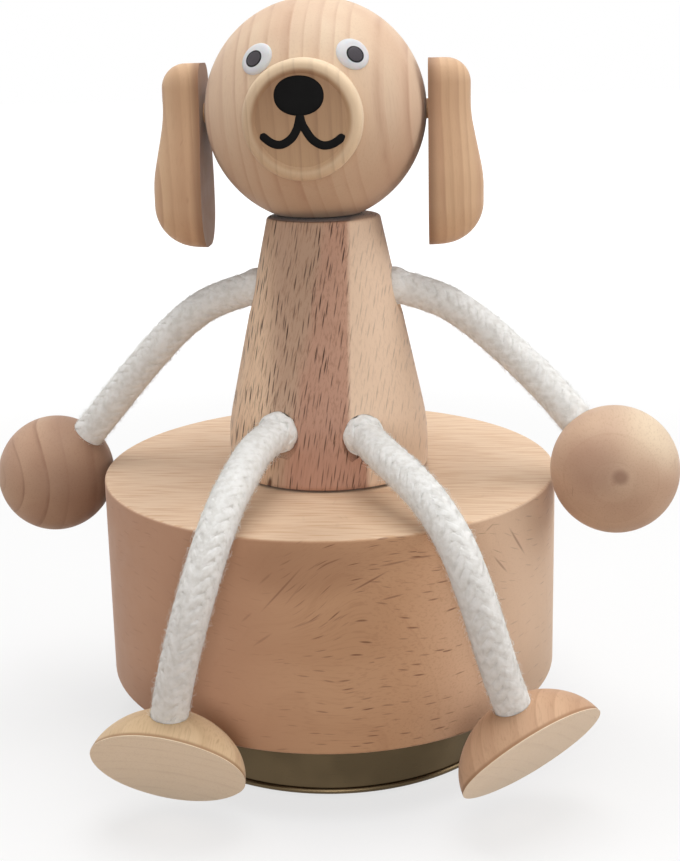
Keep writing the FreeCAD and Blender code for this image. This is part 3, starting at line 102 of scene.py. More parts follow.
# The mouth's second stroke lies that much higher, so that the two don't share a plane at the crossing
MOUTH_OVERLAP = 0.00002
# Each stroke of the mouth, across and up on the muzzle's face
MOUTHS = {
    "mouth_left": [
        (-0.00020, 0.0013), (-0.00045, -0.0002), (-0.00099, -0.0018), (-0.00212, -0.0034),
        (-0.00393, -0.00437), (-0.00575, -0.00402), (-0.0078, -0.0024),
    ],
    "mouth_right": [
        (-0.00020, 0.0013), (0.0000, -0.0002), (0.00078, -0.0018), (0.00211, -0.00361),
        (0.00394, -0.00461), (0.00594, -0.00429), (0.0081, -0.0028),
    ],
}
EYE_RADIUS = 0.0033
EYE_RISE = 0.0006
EYE_RINGS = 16
EYE_SUNK = 0.0002
PUPIL_RADIUS = 0.00175
PUPIL_GREY_RADIUS = PUPIL_RADIUS * 0.84
INK_RIM, INK_MIDDLE = 0.00003, 0.00006
INK_SUNK = 0.00002
# Azimuth and elevation of each eye on the head in degrees, and where its pupil is off its middle
EYES = {
    "eye_left": (-28.4, 28.3, (-0.0002, -0.0003)),
    "eye_right": (27.0, 29.7, (0.0002, -0.00045)),
}

# Flat inner faces of the left and the right ear, in mm
EAR_FACES = (-24.0, 21.6)

# Paws: the middle of each sole and the way its dome looks, in mm
SOLES = {
    "left": ((-27.2, -53.3, 13.7), (0.154, 0.815, 0.558)),
    "right": ((40.7, -47.6, 15.3), (-0.525, 0.613, 0.591)),
}


def linear(colour):
    """A hex sRGB colour as the linear RGBA that a socket takes."""
    values = []
    for start in (1, 3, 5):
        value = int(colour[start:start + 2], 16) / 255
        values.append(value / 12.92 if value <= 0.04045 else ((value + 0.055) / 1.055) ** 2.4)
    return (*values, 1)


def dimmed(colour, share):
    """A hex colour as linear RGBA, with that share of its light."""
    return (*(share * value for value in linear(colour)[:3]), 1)


def add(tree, kind, *values, out=0, **settings):
    """Adds a node with its settings.

    Values fill its sockets in order, or by name where one dict is given. Returns the output named or
    numbered by out, or the node itself where it has none.
    """
    node = tree.nodes.new("ShaderNode" + kind)
    for name, value in settings.items():
        setattr(node, name, value)
    named = values and isinstance(values[0], dict)
    for socket, value in (values[0].items() if named else enumerate(values)):
        if isinstance(value, bpy.types.NodeSocket):
            tree.links.new(value, node.inputs[socket])
        else:
            node.inputs[socket].default_value = value
    return node.outputs[out] if node.outputs else node


def finish_of(name, **sockets):
    """A new material, the call that adds nodes to it, and its shader, whose constant sockets are set."""
    material = bpy.data.materials.new(name)
    material.use_nodes = True
    tree = material.node_tree
    tree.nodes.clear()
    put = partial(add, tree)
    surface = put("BsdfPrincipled", sockets)
    put("OutputMaterial", {"Surface": surface})
    return material, put, surface.node


def link(output, shader, socket):
    """Joins an output to a socket of a shader in the same tree."""
    output.id_data.links.new(output, shader.inputs[socket])


def in_mm(put):
    """Where a point of the surface lies, in mm."""
    return put("VectorMath", put("TexCoord", out="Object"), (PER_MM,) * 3, operation="MULTIPLY")


# The grain of a block wanders over the first length and ripples over the second, in mm
SWAY_LENGTH = 45
RIPPLE_LENGTH = 9
# Pores show as streaks of this size in mm, three times as coarse as the real ones so that they show
PORE_STREAK = (0.3, 0.3, 7)
# How deep sanding leaves the rays, in mm
RAY_DEPTH = 0.06
WOOD_ROUGHNESS = 0.6


def spread(roughness, reach=0.06):
    """The least and the most that a roughness wanders to."""
    return roughness - reach, roughness + reach


def wood(
    name, tones, line, ray, turn=(0, 0, 0), pith=(0, 150, 0), sway=1.5, ripple=0.4,
    ring=3.0, ring_tone=0.35, line_width=0.35, line_strength=0.3,
    ray_cell=(1.8, 6.0, 4.6), ray_size=(0.2, 2.8, 1.4), ray_share=0.8, ray_strength=0.7,
    pore_strength=0.22, bend=None, zones=None,
):
    """Solid wood cut from one block, sanded and left raw.

    Growth rings run round a pith, whose line is the block's own z after turn, and each ends in a thin
    darker line. Rays are thin ribbons that point at the pith, so they show as short dark flecks where
    the surface follows the rings. Pores are fine streaks along the grain. All sizes are in mm. zones
    gives the colour of each part of the piece, and how much of the lines, pores and rays is kept there.
    """
    material, put, shader = finish_of(name, **{
        "Specular IOR Level": 0.2, "Sheen Weight": 0.15, "Sheen Roughness": 0.4,
    })
    place = in_mm(put)
    bent = bend(put, place) if bend else place
    block = put("Mapping", {"Vector": bent, "Rotation": turn, "Location": pith})
    drift = put("TexNoise", {"Vector": block, "Scale": 1 / SWAY_LENGTH, "Detail": 1.0}, out="Color")
    grain = put("VectorMath", drift, (sway, sway, 0), block, operation="MULTIPLY_ADD")
    waves = put("TexNoise", {"Vector": block, "Scale": 1 / RIPPLE_LENGTH, "Detail": 0.0}, out="Color")
    grain = put("VectorMath", waves, (ripple, ripple, 0), grain, operation="MULTIPLY_ADD")

    # Rings: uneven in width, each with its own tone and its own strength of line
    across = put("VectorMath", grain, (1, 1, 0), operation="MULTIPLY")
    radius = put("VectorMath", across, operation="LENGTH", out="Value")
    years = put("Math", radius, ring, operation="DIVIDE")
    widths = put("Math", years, 3.0, operation="DIVIDE")
    widths = put("TexNoise", {"W": widths, "Scale": 1.0}, noise_dimensions="1D")
    years = put("Math", widths, 1.6, years, operation="MULTIPLY_ADD")
    within = put("Math", years, operation="FRACT")
    year = put("Math", years, operation="FLOOR")
    own = put("TexWhiteNoise", {"W": year}, noise_dimensions="1D", out="Value")
    width = line_width / ring
    line_in = put("MapRange", within, 1 - 1.5 * width, 1 - 0.4 * width)
    line_out = put("MapRange", within, 0.999, 1 - 0.35 * width)
    late = put("MapRange", within, 0.1, 1.0, 0.0, ring_tone, interpolation_type="SMOOTHSTEP")
    broken = put("VectorMath", grain, (0.2, 0.2, 0.06), operation="MULTIPLY")
    broken = put("TexNoise", {"Vector": broken, "Scale": 1.0})
    broken = put("MapRange", broken, 0.35, 0.6, 0.25, 1.0)
    edge = put("Math", line_in, line_out, operation="MULTIPLY")
    edge = put("Math", edge, broken, operation="MULTIPLY")
    edge = put("Math", edge, put("MapRange", own, 0.1, 0.9, 0.15, line_strength), operation="MULTIPLY")
    broad = put("VectorMath", grain, (0.09, 0.09, 0.02), operation="MULTIPLY")
    broad = put("TexNoise", {"Vector": broad, "Scale": 1.0, "Detail": 2.0})
    broad = put("MapRange", broad, 0.3, 0.7, 0.0, 0.6, interpolation_type="SMOOTHSTEP")
    tone = put("Math", own, 0.4, broad, operation="MULTIPLY_ADD")
    colour = put("Mix", {0: tone, 6: linear(tones[0]), 7: linear(tones[1])}, out=2, data_type="RGBA")
    colour = put("Mix", {0: late, 6: colour, 7: linear(tones[1])}, out=2, data_type="RGBA")
    colour, kept = zones(put, place, colour) if zones else (colour, 1.0)
    edge = put("Math", edge, kept, operation="MULTIPLY")
    colour = put("Mix", {0: edge, 6: colour, 7: linear(line)}, out=2, data_type="RGBA")

    # Pores: soft streaks along the grain
    stretch = put("VectorMath", grain, PORE_STREAK, operation="DIVIDE")
    streak = put("TexNoise", {"Vector": stretch, "Scale": 1.0, "Detail": 3.0, "Roughness": 0.6})
    pores = put("MapRange", streak, 0.48, 0.7, 0.0, pore_strength, interpolation_type="SMOOTHSTEP")
    pores = put("Math", pores, kept, operation="MULTIPLY")
    colour = put("Mix", {0: pores, 6: colour, 7: linear(line)}, out=2, data_type="RGBA")

    # Rays: one spindle in each cell, with its own strength
    scaled = put("VectorMath", grain, ray_cell, operation="DIVIDE")
    cells = put("TexVoronoi", {"Vector": scaled, "Scale": 1.0}).node.outputs
    offset = put("VectorMath", scaled, cells["Position"], operation="SUBTRACT")
    shape = tuple(cell / size for cell, size in zip(ray_cell, ray_size))
    reach = put("VectorMath", offset, shape, operation="MULTIPLY")
    reach = put("VectorMath", reach, operation="LENGTH", out="Value")
    chances = put("SeparateColor", cells["Color"]).node.outputs
    fleck = put("MapRange", reach, 1.0, 0.35, interpolation_type="SMOOTHSTEP")
    strength = put("MapRange", chances[1], 0, 1, 0.45 * ray_strength, ray_strength)
    shown = put("Math", fleck, strength, operation="MULTIPLY")
    for share in (put("Math", chances[0], ray_share, operation="LESS_THAN"), kept):
        shown = put("Math", shown, share, operation="MULTIPLY")
    colour = put("Mix", {0: shown, 6: colour, 7: linear(ray)}, out=2, data_type="RGBA")
    link(colour, shader, "Base Color")

    matt = put("TexNoise", {"Vector": block, "Scale": 0.33, "Detail": 3.0})
    link(put("MapRange", matt, 0.3, 0.7, *spread(WOOD_ROUGHNESS)), shader, "Roughness")
    raised = put("Math", streak, 0.3, operation="MULTIPLY")
    depth = put("Math", shown, -1.0, raised, operation="MULTIPLY_ADD")
    link(put("Bump", {"Strength": 0.5, "Distance": RAY_DEPTH * MM, "Height": depth}), shader, "Normal")
    return material


# Where the drum's grain sweeps up past a knot and down again: middle, reach in mm, and slope
DRUM_SWEEPS = (
    ((1, -47, 47), (15, 30, 11), 0.85),
    ((37.5, -28, 48), (13, 24, 12), -0.8),
)
# A darker cloud and strokes on the drum's front: middle, half length and half width in mm, lean in
# degrees, strength
DRUM_CLOUD = ((-1, -47, 51), 19, 8, 4, 0.35)
DRUM_STROKES = (
    ((-5.2, -47.0, 46.7), 7.3, 0.26, 49, 0.5),
    ((3.9, -47.3, 52.1), 2.6, 0.24, 21, 0.5),
    ((-2.9, -47.4, 46.0), 4.0, 0.2, 52, 0.25),
    ((0.9, -47.5, 51.4), 2.2, 0.2, 36, 0.3),
    ((10.7, -46.1, 48.0), 4.6, 0.26, 27, 0.65),
    ((15.2, -44.6, 51.1), 3.4, 0.26, 6, 0.5),
    ((20.0, -42.8, 51.6), 3.0, 0.26, -3, 0.55),
    ((14.9, -45.0, 44.6), 2.6, 0.26, 9, 0.55),
    ((13.3, -45.6, 56.0), 1.5, 0.24, 4, 0.5),
    ((-8.1, -46.8, 48.7), 2.2, 0.3, 44, 0.3),
    ((-9.1, -46.6, 36.6), 2.9, 0.3, 38, 0.3),
    ((-1.0, -47.4, 40.3), 3.9, 0.22, 22, 0.3),
    ((-12.0, -45.9, 40.7), 1.8, 0.3, 45, 0.25),
    ((38.3, -28.0, 49.2), 4.8, 0.26, -65, 0.5),
    ((35.0, -32.0, 46.0), 3.2, 0.26, -58, 0.45),
    ((32.8, -34.4, 54.2), 1.3, 0.24, 35, 0.3),
    ((4.9, -47.2, 41.2), 1.4, 0.22, 32, 0.35),
)
# A nick in the foot of the dog's body, its hollow painted as shade on the smooth shape, in the same way
TORSO_NICK_SHADE = ((-10.6, -18, 57.4), 2.0, 0.6, 80, 0.9)
# How deep a mark reaches from the front, in mm
MARK_DEPTH = 15
# Heights of the drum's top and of the joint under the head, in mm
DRUM_TOP = 56.3
TORSO_TOP = 109.25


def drum_sweep(put, place):
    """The drum's block with its grain lines swept up towards a knot and down again past it."""
    shift = 0.0
    for middle, reach, slope in DRUM_SWEEPS:
        offset = put("VectorMath", place, middle, operation="SUBTRACT")
        near = put("VectorMath", offset, reach, operation="DIVIDE")
        near = put("VectorMath", near, near, operation="DOT_PRODUCT", out="Value")
        near = put("Math", math.e, put("Math", near, -1.0, operation="MULTIPLY"), operation="POWER")
        rise = put("Math", put("SeparateXYZ", offset), near, operation="MULTIPLY")
        shift = put("Math", rise, -slope, shift, operation="MULTIPLY_ADD")
    return put("VectorMath", place, put("CombineXYZ", 0.0, 0.0, shift), operation="ADD")


def mark(put, place, colour, middle, half_length, half_width, lean, strength, tint):
    """One spindle of another colour on a surface that faces the front."""
    within = put("Mapping", {
        "Vector": place, "Location": middle, "Rotation": (0, -math.radians(lean), 0),
        "Scale": (half_length, MARK_DEPTH, half_width),
    }, vector_type="TEXTURE")
    away = put("VectorMath", within, operation="LENGTH", out="Value")
    share = put("MapRange", away, 1.0, 0.3, 0.0, strength, interpolation_type="SMOOTHSTEP")
    return put("Mix", {0: share, 6: colour, 7: linear(tint)}, out=2, data_type="RGBA")


def drum_zones(put, place, colour):
    """Pinker wood on the left, and the strokes by the knot.

    Paler wood on the right and a pale streaky top, both partly painted light falling from the right and
    from above.
    """
    side, _, up = put("SeparateXYZ", place).node.outputs
    # The second band is paler wood on the right, partly painted light from the right
    for start, end, most, tint in ((8, -28, 0.6, "#b7907c"), (14, 42, 0.75, "#ebd2b9")):
        share = put("MapRange", side, start, end, 0.0, most, interpolation_type="SMOOTHSTEP")
        colour = put("Mix", {0: share, 6: colour, 7: linear(tint)}, out=2, data_type="RGBA")
    # The top's flatter grain is paler, and painted light from above lightens it more
    pale_and_lit_top = put("MapRange", up, DRUM_TOP - 0.35, DRUM_TOP - 0.1, 0.0, 0.85)
    fine = put("Mapping", {"Vector": place, "Rotation": (0, 0, -0.35), "Scale": (1 / 10, 1 / 0.6, 0.02)})
    fine = put("TexNoise", {"Vector": fine, "Scale": 1.0, "Detail": 3.0})
    fine = put("MapRange", fine, 0.42, 0.68, interpolation_type="SMOOTHSTEP")
    streaky = put("Mix", {0: fine, 6: linear("#e6cbae"), 7: linear("#d3ae8c")}, out=2, data_type="RGBA")
    colour = put("Mix", {0: pale_and_lit_top, 6: colour, 7: streaky}, out=2, data_type="RGBA")
    colour = mark(put, place, colour, *DRUM_CLOUD, "#8c6247")
    for stroke in DRUM_STROKES:
        colour = mark(put, place, colour, *stroke, "#7a5240")
    kept = put("MapRange", side, -12, 10, 0.25, 1.0, interpolation_type="SMOOTHSTEP")
    kept = put("Math", kept, put("MapRange", side, 26, 36, 1.0, 0.4), operation="MULTIPLY")
    return colour, put("Math", kept, put("MapRange", pale_and_lit_top, 0, 0.85, 1.0, 0.1), operation="MULTIPLY")


def torso_zones(put, place, colour):
    """Bands of greyer and redder heartwood up the dog's chest, with a sharp edge to pale sapwood.

    Painted shadow darkens the joints at the foot and the neck.
    """
    side, front, up = put("SeparateXYZ", place).node.outputs
    facing = put("MapRange", front, 4, -4, interpolation_type="SMOOTHSTEP")
    grey = put("MapRange", side, -13, -7.5, interpolation_type="SMOOTHSTEP")
    # The edge of the red band leans to the left as it goes down, and is ragged along the grain
    lean = put("Math", up, -0.165, put("Math", side, 14.5), operation="MULTIPLY_ADD")
    ragged = put("VectorMath", place, (0.9, 0.3, 0.07), operation="MULTIPLY")
    ragged = put("TexNoise", {"Vector": ragged, "Scale": 1.0})
    lean = put("Math", ragged, 4.0, lean, operation="MULTIPLY_ADD")
    red = put("MapRange", lean, -1.8, 1.5, interpolation_type="SMOOTHSTEP")
    # The pale sapwood steps back to the right under the leg's hole
    pale = put("Math", put("MapRange", up, 66, 62, 0.0, -3.5), side, operation="ADD")
    pale = put("MapRange", pale, 5.3, 6.2, 0.0, 0.95)
    grey, red, pale = (put("Math", share, facing, operation="MULTIPLY") for share in (grey, red, pale))
    red_low = put("Math", red, put("MapRange", up, 88, 62, 0.0, 0.45), operation="MULTIPLY")
    # Painted shadow in the thin gaps where the body stands on the drum and where the head sits on it
    foot_shadow = put("MapRange", up, DRUM_TOP + 0.6, DRUM_TOP + 0.35, 0.0, 0.85)
    neck_shadow = put("MapRange", up, TORSO_TOP - 0.25, TORSO_TOP - 0.05, 0.0, 0.8)
    neck_shadow = put("Math", neck_shadow, put("MapRange", side, 8.5, 5.5), operation="MULTIPLY")
    joint_shadow = put("Math", foot_shadow, neck_shadow, operation="MAXIMUM")
    for share, tint in (
        (grey, "#c0a18a"), (red, "#c49b85"), (red_low, "#ad806f"), (pale, "#eacfb5"), (joint_shadow, "#3d281d"),
    ):
        colour = put("Mix", {0: share, 6: colour, 7: linear(tint)}, out=2, data_type="RGBA")
    # The nick's hollow, painted as shade
    colour = mark(put, place, colour, *TORSO_NICK_SHADE, "#4f2c1d")
    return colour, put("Math", pale, -0.75, 1.0, operation="MULTIPLY_ADD")


def paw_zones(side):
    """The zones of one paw: its pale sawn sole, made paler still as painted light, and a line of painted
    shade round the edge, where the dome turns away from the light.
    """
    middle, dome = SOLES[side]

    def zones(put, place, colour):
        offset = put("VectorMath", place, middle, operation="SUBTRACT")
        height = put("VectorMath", offset, dome, operation="DOT_PRODUCT", out="Value")
        # Painted shade along the dome's edge above the sole
        low = put("MapRange", height, 0.05, 0.25)
        high = put("MapRange", height, 1.0, 0.3, 0.0, 0.75, interpolation_type="SMOOTHSTEP")
        edge_shade = put("Math", low, high, operation="MULTIPLY")
        # The sole's pale end grain, brightened further as painted light
        sawn_and_lit_sole = put("MapRange", height, 0.15, 0.02, 0.0, 0.95)
        for share, tint in ((edge_shade, "#8f6848"), (sawn_and_lit_sole, "#fdeed6")):
            colour = put("Mix", {0: share, 6: colour, 7: linear(tint)}, out=2, data_type="RGBA")
        return colour, put("MapRange", sawn_and_lit_sole, 0.0, 0.95, 1.0, 0.4)

    return zones


def head_zones(put, place, colour):
    """Painted shade darkens the head's wood towards the chin."""
    up = put("SeparateXYZ", place).node.outputs[2]
    # Painted shade under the ball
    chin_shade = put("MapRange", up, 136, 117, 0.0, 0.4, interpolation_type="SMOOTHSTEP")
    return put("Mix", {0: chin_shade, 6: colour, 7: linear("#a98467")}, out=2, data_type="RGBA"), 1.0


def muzzle_zones(put, place, colour):
    """Painted highlight on the rounded rim of the muzzle's disc, most of all at the top, and painted
    light on its face towards the lower right.
    """
    middle = tuple(PER_MM * value for value in HEAD_CENTRE)
    offset = put("VectorMath", place, middle, operation="SUBTRACT")
    away = put("VectorMath", offset, tuple(MUZZLE_AXIS), operation="CROSS_PRODUCT")
    away = put("VectorMath", away, operation="LENGTH", out="Value")
    # Painted highlight round the rim, weighted towards the top right
    rim_highlight = put("MapRange", away, 9.0, 10.0, interpolation_type="SMOOTHSTEP")
    high = put("VectorMath", offset, (0.5, 0, 0.86), operation="DOT_PRODUCT", out="Value")
    low = put("VectorMath", offset, (0.5, 0, -0.86), operation="DOT_PRODUCT", out="Value")
    # Painted light over the face, brighter towards the lower right
    face_light = put("MapRange", low, -7, 9, 0.0, 0.6)
    rim_highlight = put("Math", rim_highlight, put("MapRange", high, -11, 4, 0.4, 0.85), operation="MULTIPLY")
    for share, tint in ((face_light, "#d2b08c"), (rim_highlight, "#efd8b8")):
        colour = put("Mix", {0: share, 6: colour, 7: linear(tint)}, out=2, data_type="RGBA")
    return colour, put("MapRange", rim_highlight, 0.0, 1.0, 1.0, 0.4)


def ear_zones(put, place, colour):
    """Painted shade on the flat faces of the ears towards the head, which the head keeps from the light.
    """
    side = put("SeparateXYZ", place)
    left, right = EAR_FACES
    near_left = put("MapRange", side, left - 2.6, left - 0.2, 0.0, 0.8, interpolation_type="SMOOTHSTEP")
    near_right = put("MapRange", side, right + 2.6, right + 0.2, interpolation_type="SMOOTHSTEP")
    # Painted shade on the flat face towards the head
    inner_face_shade = put("Math", near_left, near_right, operation="MULTIPLY")
    colour = put("Mix", {0: inner_face_shade, 6: colour, 7: linear("#8d6a52")}, out=2, data_type="RGBA")
    return colour, 1.0


def drum_side_shade_zones(put, place, colour):
    """Painted shade on the half of the left hand that is towards the drum, away from the light."""
    side = put("SeparateXYZ", place)
    # Painted shade on the side towards the drum
    dark = put("MapRange", side, -67, -52, 0.0, 0.62, interpolation_type="SMOOTHSTEP")
    return put("Mix", {0: dark, 6: colour, 7: linear("#8c6c58")}, out=2, data_type="RGBA"), 1.0


# Marks on the front of the right hand: place from its middle, half length and half height in mm,
# strength, tint. The first mark is painted light on the ball's upper right.
KNOT_AND_LIGHT_MARKS = (
    ((9.6, -3.3, 9.4), 13.0, 11.0, 0.6, "#ead9bd"),
    ((-5.9, -12.0, 4.1), 9.0, 8.0, 0.5, "#a07c68"),
    ((-0.45, -13.8, 2.1), 2.2, 2.0, 0.6, "#815c4c"),
)


def knot_and_light_zones(put, place, colour):
    """A small knot on the front of the right hand, a brown cloud beside it, and painted light on the
    ball's upper right, above it.
    """
    low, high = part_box("hand_ball_right")
    middle = (Vector(low) + Vector(high)) / 2 * PER_MM
    for offset, half_length, half_height, strength, tint in KNOT_AND_LIGHT_MARKS:
        spot = tuple(middle + Vector(offset))
        colour = mark(put, place, colour, spot, half_length, half_height, 0, strength, tint)
    return colour, 1.0


def cotton():
    """Braided cotton yarn, bleached: matt, soft at grazing angles, felted by handling."""
    material, put, shader = finish_of("cotton_braid_bleached", **{
        "Roughness": 0.9, "Specular IOR Level": 0.15, "Sheen Weight": 0.2, "Sheen Roughness": 0.5,
    })
    place = in_mm(put)
    tufts = put("TexNoise", {"Vector": place, "Scale": 0.8, "Detail": 3.0})
    shade = put("MapRange", tufts, 0.35, 0.7, interpolation_type="SMOOTHSTEP")
    colour = put("Mix", {0: shade, 6: linear("#f8f8f6"), 7: linear("#e9e8e4")}, out=2, data_type="RGBA")
    link(colour, shader, "Base Color")
    # Fibres are 0.02 mm thick, too fine to show: waves of 0.3 mm stand for small bundles of them
    fibres = put("TexNoise", {
        "Vector": place, "Scale": 3.3, "Detail": 4.0, "Roughness": 0.7, "Distortion": 1.5,
    })
    link(put("Bump", {"Strength": 0.7, "Distance": 0.25 * MM, "Height": fibres}), shader, "Normal")
    return material


def metal(name, colour, roughness, grain=(0.3, 0.3, 0.3), depth=0.01):
    """Bare or lacquered metal, with the fine marks that its making left and duller patches.

    grain is the size of the marks and depth their depth, in mm.
    """
    material, put, shader = finish_of(name, Metallic=1.0)
    place = in_mm(put)
    marks = put("VectorMath", place, grain, operation="DIVIDE")
    marks = put("TexNoise", {"Vector": marks, "Scale": 1.0, "Detail": 3.0})
    cloud = put("TexNoise", {"Vector": place, "Scale": 0.07, "Detail": 2.0})
    dark = dimmed(colour, 0.7)
    share = put("MapRange", cloud, 0.35, 0.65, interpolation_type="SMOOTHSTEP")
    tone = put("Mix", {0: share, 6: linear(colour), 7: dark}, out=2, data_type="RGBA")
    link(tone, shader, "Base Color")
    link(put("MapRange", marks, 0.3, 0.7, *spread(roughness)), shader, "Roughness")
    link(put("Bump", {"Strength": 0.4, "Distance": depth * MM, "Height": marks}), shader, "Normal")
    return material


def coat(name, colour, roughness, wave=0.4, depth=0.02, **sockets):
    """Paint, felt or moulded plastic, with the faint waviness of its surface, in mm."""
    material, put, shader = finish_of(name, **sockets)
    place = in_mm(put)
    waves = put("TexNoise", {"Vector": place, "Scale": 1 / wave, "Detail": 2.0})
    dark = dimmed(colour, 0.85)
    share = put("MapRange", waves, 0.2, 0.9, interpolation_type="SMOOTHSTEP")
    tone = put("Mix", {0: share, 6: linear(colour), 7: dark}, out=2, data_type="RGBA")
    link(tone, shader, "Base Color")
    link(put("MapRange", waves, 0.3, 0.7, *spread(roughness, 0.03)), shader, "Roughness")
    link(put("Bump", {"Strength": 0.3, "Distance": depth * MM, "Height": waves}), shader, "Normal")
    return material


def direction(azimuth, elevation):
    """The way that an azimuth from the front and an elevation point, in radians."""
    level = math.cos(elevation)
    return Vector((math.sin(azimuth) * level, -math.cos(azimuth) * level, math.sin(elevation)))


def new_piece(name, points, faces, material, smooth=True):
    """A mesh piece from points in metres and faces."""
    mesh = bpy.data.meshes.new(name)
    mesh.from_pydata([tuple(point) for point in points], [], faces)
    mesh.update()
    piece = bpy.data.objects.new(name, mesh)
    bpy.context.scene.collection.objects.link(piece)
    mesh.materials.append(material)
    if smooth:
        mesh.shade_smooth()
    return piece


def route_line(name, route, step):
    """The smooth line of a cord's route, as points that lie evenly step apart along it."""
    curve = bpy.data.curves.new(name + "_route", "CURVE")
    curve.dimensions = "3D"
    curve.resolution_u = 24
    spline = curve.splines.new("NURBS")
    spline.points.add(len(route) - 1)
    for point, place in zip(spline.points, route):
        point.co = (*place, 1)
    spline.order_u = 3
    spline.use_endpoint_u = True
    holder = bpy.data.objects.new(name + "_route", curve)
    line = bpy.data.meshes.new_from_object(holder)
    points = [vertex.co.copy() for vertex in line.vertices]
    bpy.data.objects.remove(holder)
    bpy.data.meshes.remove(line)
    along = [0.0]
    for first, second in zip(points, points[1:]):
        along.append(along[-1] + (second - first).length)
    count = round(along[-1] / step)
    even = []
    at = 0
    for index in range(count + 1):
        goal = along[-1] * index / count
        while at < len(points) - 2 and along[at + 1] < goal:
            at += 1
        share = (goal - along[at]) / (along[at + 1] - along[at])
        even.append(points[at].lerp(points[at + 1], share))
    return even, along[-1]


def frames_along(line):
    """A side, an up and an ahead direction at each point of a line, with no twist between them."""
    axes = []
    side = None
    for index in range(len(line)):
        ahead = (line[min(index + 1, len(line) - 1)] - line[max(index - 1, 0)]).normalized()
        side = ahead.orthogonal() if side is None else side - side.dot(ahead) * ahead
        side.normalize()
        axes.append((side.copy(), ahead.cross(side), ahead))
    return axes


# Braid of the cords: strands each way, the length of one turn, and the core's share of the radius
BRAID_STEP = 0.0004
BRAID_STRANDS = 8
BRAID_PITCH = 0.019
BRAID_CORE = 0.935
CORE_SIDES = 24
STRAND_HALF_WIDTH = 0.00098
STRAND_HALF_THICKNESS = 0.00027
STRAND_LIFT = 0.00005
STRAND_SIDES = 8
STRAND_CROWN = 0.5 / CORD_RADIUS * 0.6
STRAND_WOBBLE = 0.06
# Under 1 it squares up a strand's round section, as in yarn pressed flat
SECTION_POWER = 0.85
# Loose fibres start far enough from the hole to clear the body when a leg is lifted
FUZZ_START = 8
FUZZ_SEED = 100
FIBRES_PER_STEP = 40
FIBRE_LENGTHS = (0.0003, 0.0012)
FIBRE_RADIUS = 0.00003
FIBRE_TAPER = (1, 0.8, 0.3)
FIBRE_ROOT = 0.95
# At its hole a cord is squeezed out to a collar, which starts that many steps inside the hole
COLLAR_RISE = {"arm": 0.0005, "leg": 0.0008}
COLLAR_LENGTH = 0.0026
STEPS_INSIDE = 3


def power(value, exponent):
    """A signed power, which squares up the section of a strand."""
    return math.copysign(abs(value) ** exponent, value)


def sweep(points, faces, centres, across, out, half_width, half_thickness, sides, crown=0.0):
    """Adds a closed strand of rounded flat section along centres.

    Its flanks drop by crown times the square of their distance from the middle.
    """
    start = len(points)
    for centre, flat, normal in zip(centres, across, out):
        for corner in range(sides):
            angle = math.tau * (corner + 0.5) / sides
            side = half_width * power(math.cos(angle), SECTION_POWER)
            rise = half_thickness * power(math.sin(angle), SECTION_POWER) - crown * side * side
            points.append(centre + flat * side + normal * rise)
    rings = len(centres)
    for ring in range(rings - 1):
        for corner in range(sides):
            first = start + ring * sides + corner
            second = start + ring * sides + (corner + 1) % sides
            faces.append((first, second, second + sides, first + sides))
    faces.append(tuple(range(start + sides - 1, start - 1, -1)))
    faces.append(tuple(range(start + (rings - 1) * sides, start + rings * sides)))


def braid(name, route, body, material, seed):
    """A round braid of sixteen cotton strands over a core, each passing over two and under two."""
    line, length = route_line(name, route, BRAID_STEP)
    step = length / (len(line) - 1)
    drawn = [line[0] + (line[0] - line[1]) * more for more in range(STEPS_INSIDE, 0, -1)] + line
    axes = frames_along(drawn)
    points, faces = [], []
    core = CORD_RADIUS * BRAID_CORE
    travels = [step * (index - STEPS_INSIDE) for index in range(len(drawn))]
    swell = [1 + collar(name, travelled) / core for travelled in travels]
    sides, ups = ([axis[way] * more for axis, more in zip(axes, swell)] for way in (0, 1))
    sweep(points, faces, drawn, sides, ups, core, core, CORE_SIDES)
    middle = CORD_RADIUS - STRAND_HALF_THICKNESS - STRAND_LIFT
    chance = random.Random(seed)
    for way in (1, -1):
        for strand in range(BRAID_STRANDS):
            centres, across, out = [], [], []
            wobble = chance.uniform(-STRAND_WOBBLE, STRAND_WOBBLE)
            for point, travelled, (side, up, ahead) in zip(drawn, travels, axes):
                turns = travelled / BRAID_PITCH
                angle = math.tau * (strand / BRAID_STRANDS + way * turns) + wobble
                normal = side * math.cos(angle) + up * math.sin(angle)
                around = up * math.cos(angle) - side * math.sin(angle)
                crossing = 2 * BRAID_STRANDS * turns
                beat = crossing + 2 * strand if way > 0 else 2 * strand - crossing
                distance = middle + STRAND_LIFT * way * math.cos(math.tau * (beat - 0.5) / 4)
                distance += collar(name, travelled)
                centres.append(point + normal * distance)
                forward = (ahead + around * way * math.tau * distance / BRAID_PITCH).normalized()
                across.append(forward.cross(normal))
                out.append(normal)
            sweep(
                points, faces, centres, across, out,
                STRAND_HALF_WIDTH, STRAND_HALF_THICKNESS, STRAND_SIDES, STRAND_CROWN,
            )
    piece = new_piece(name + "_braid", points, faces, material)
    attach(piece, body)
    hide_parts(name)
    fuzz = fuzz_on(name, line, axes[STEPS_INSIDE:], body, material, seed + FUZZ_SEED)


def collar(name, travelled):
    """How much a cord swells at that distance from its hole."""
    share = max(1 - travelled / COLLAR_LENGTH, 0)
    return COLLAR_RISE[name[:3]] * share * share * (3 - 2 * share)


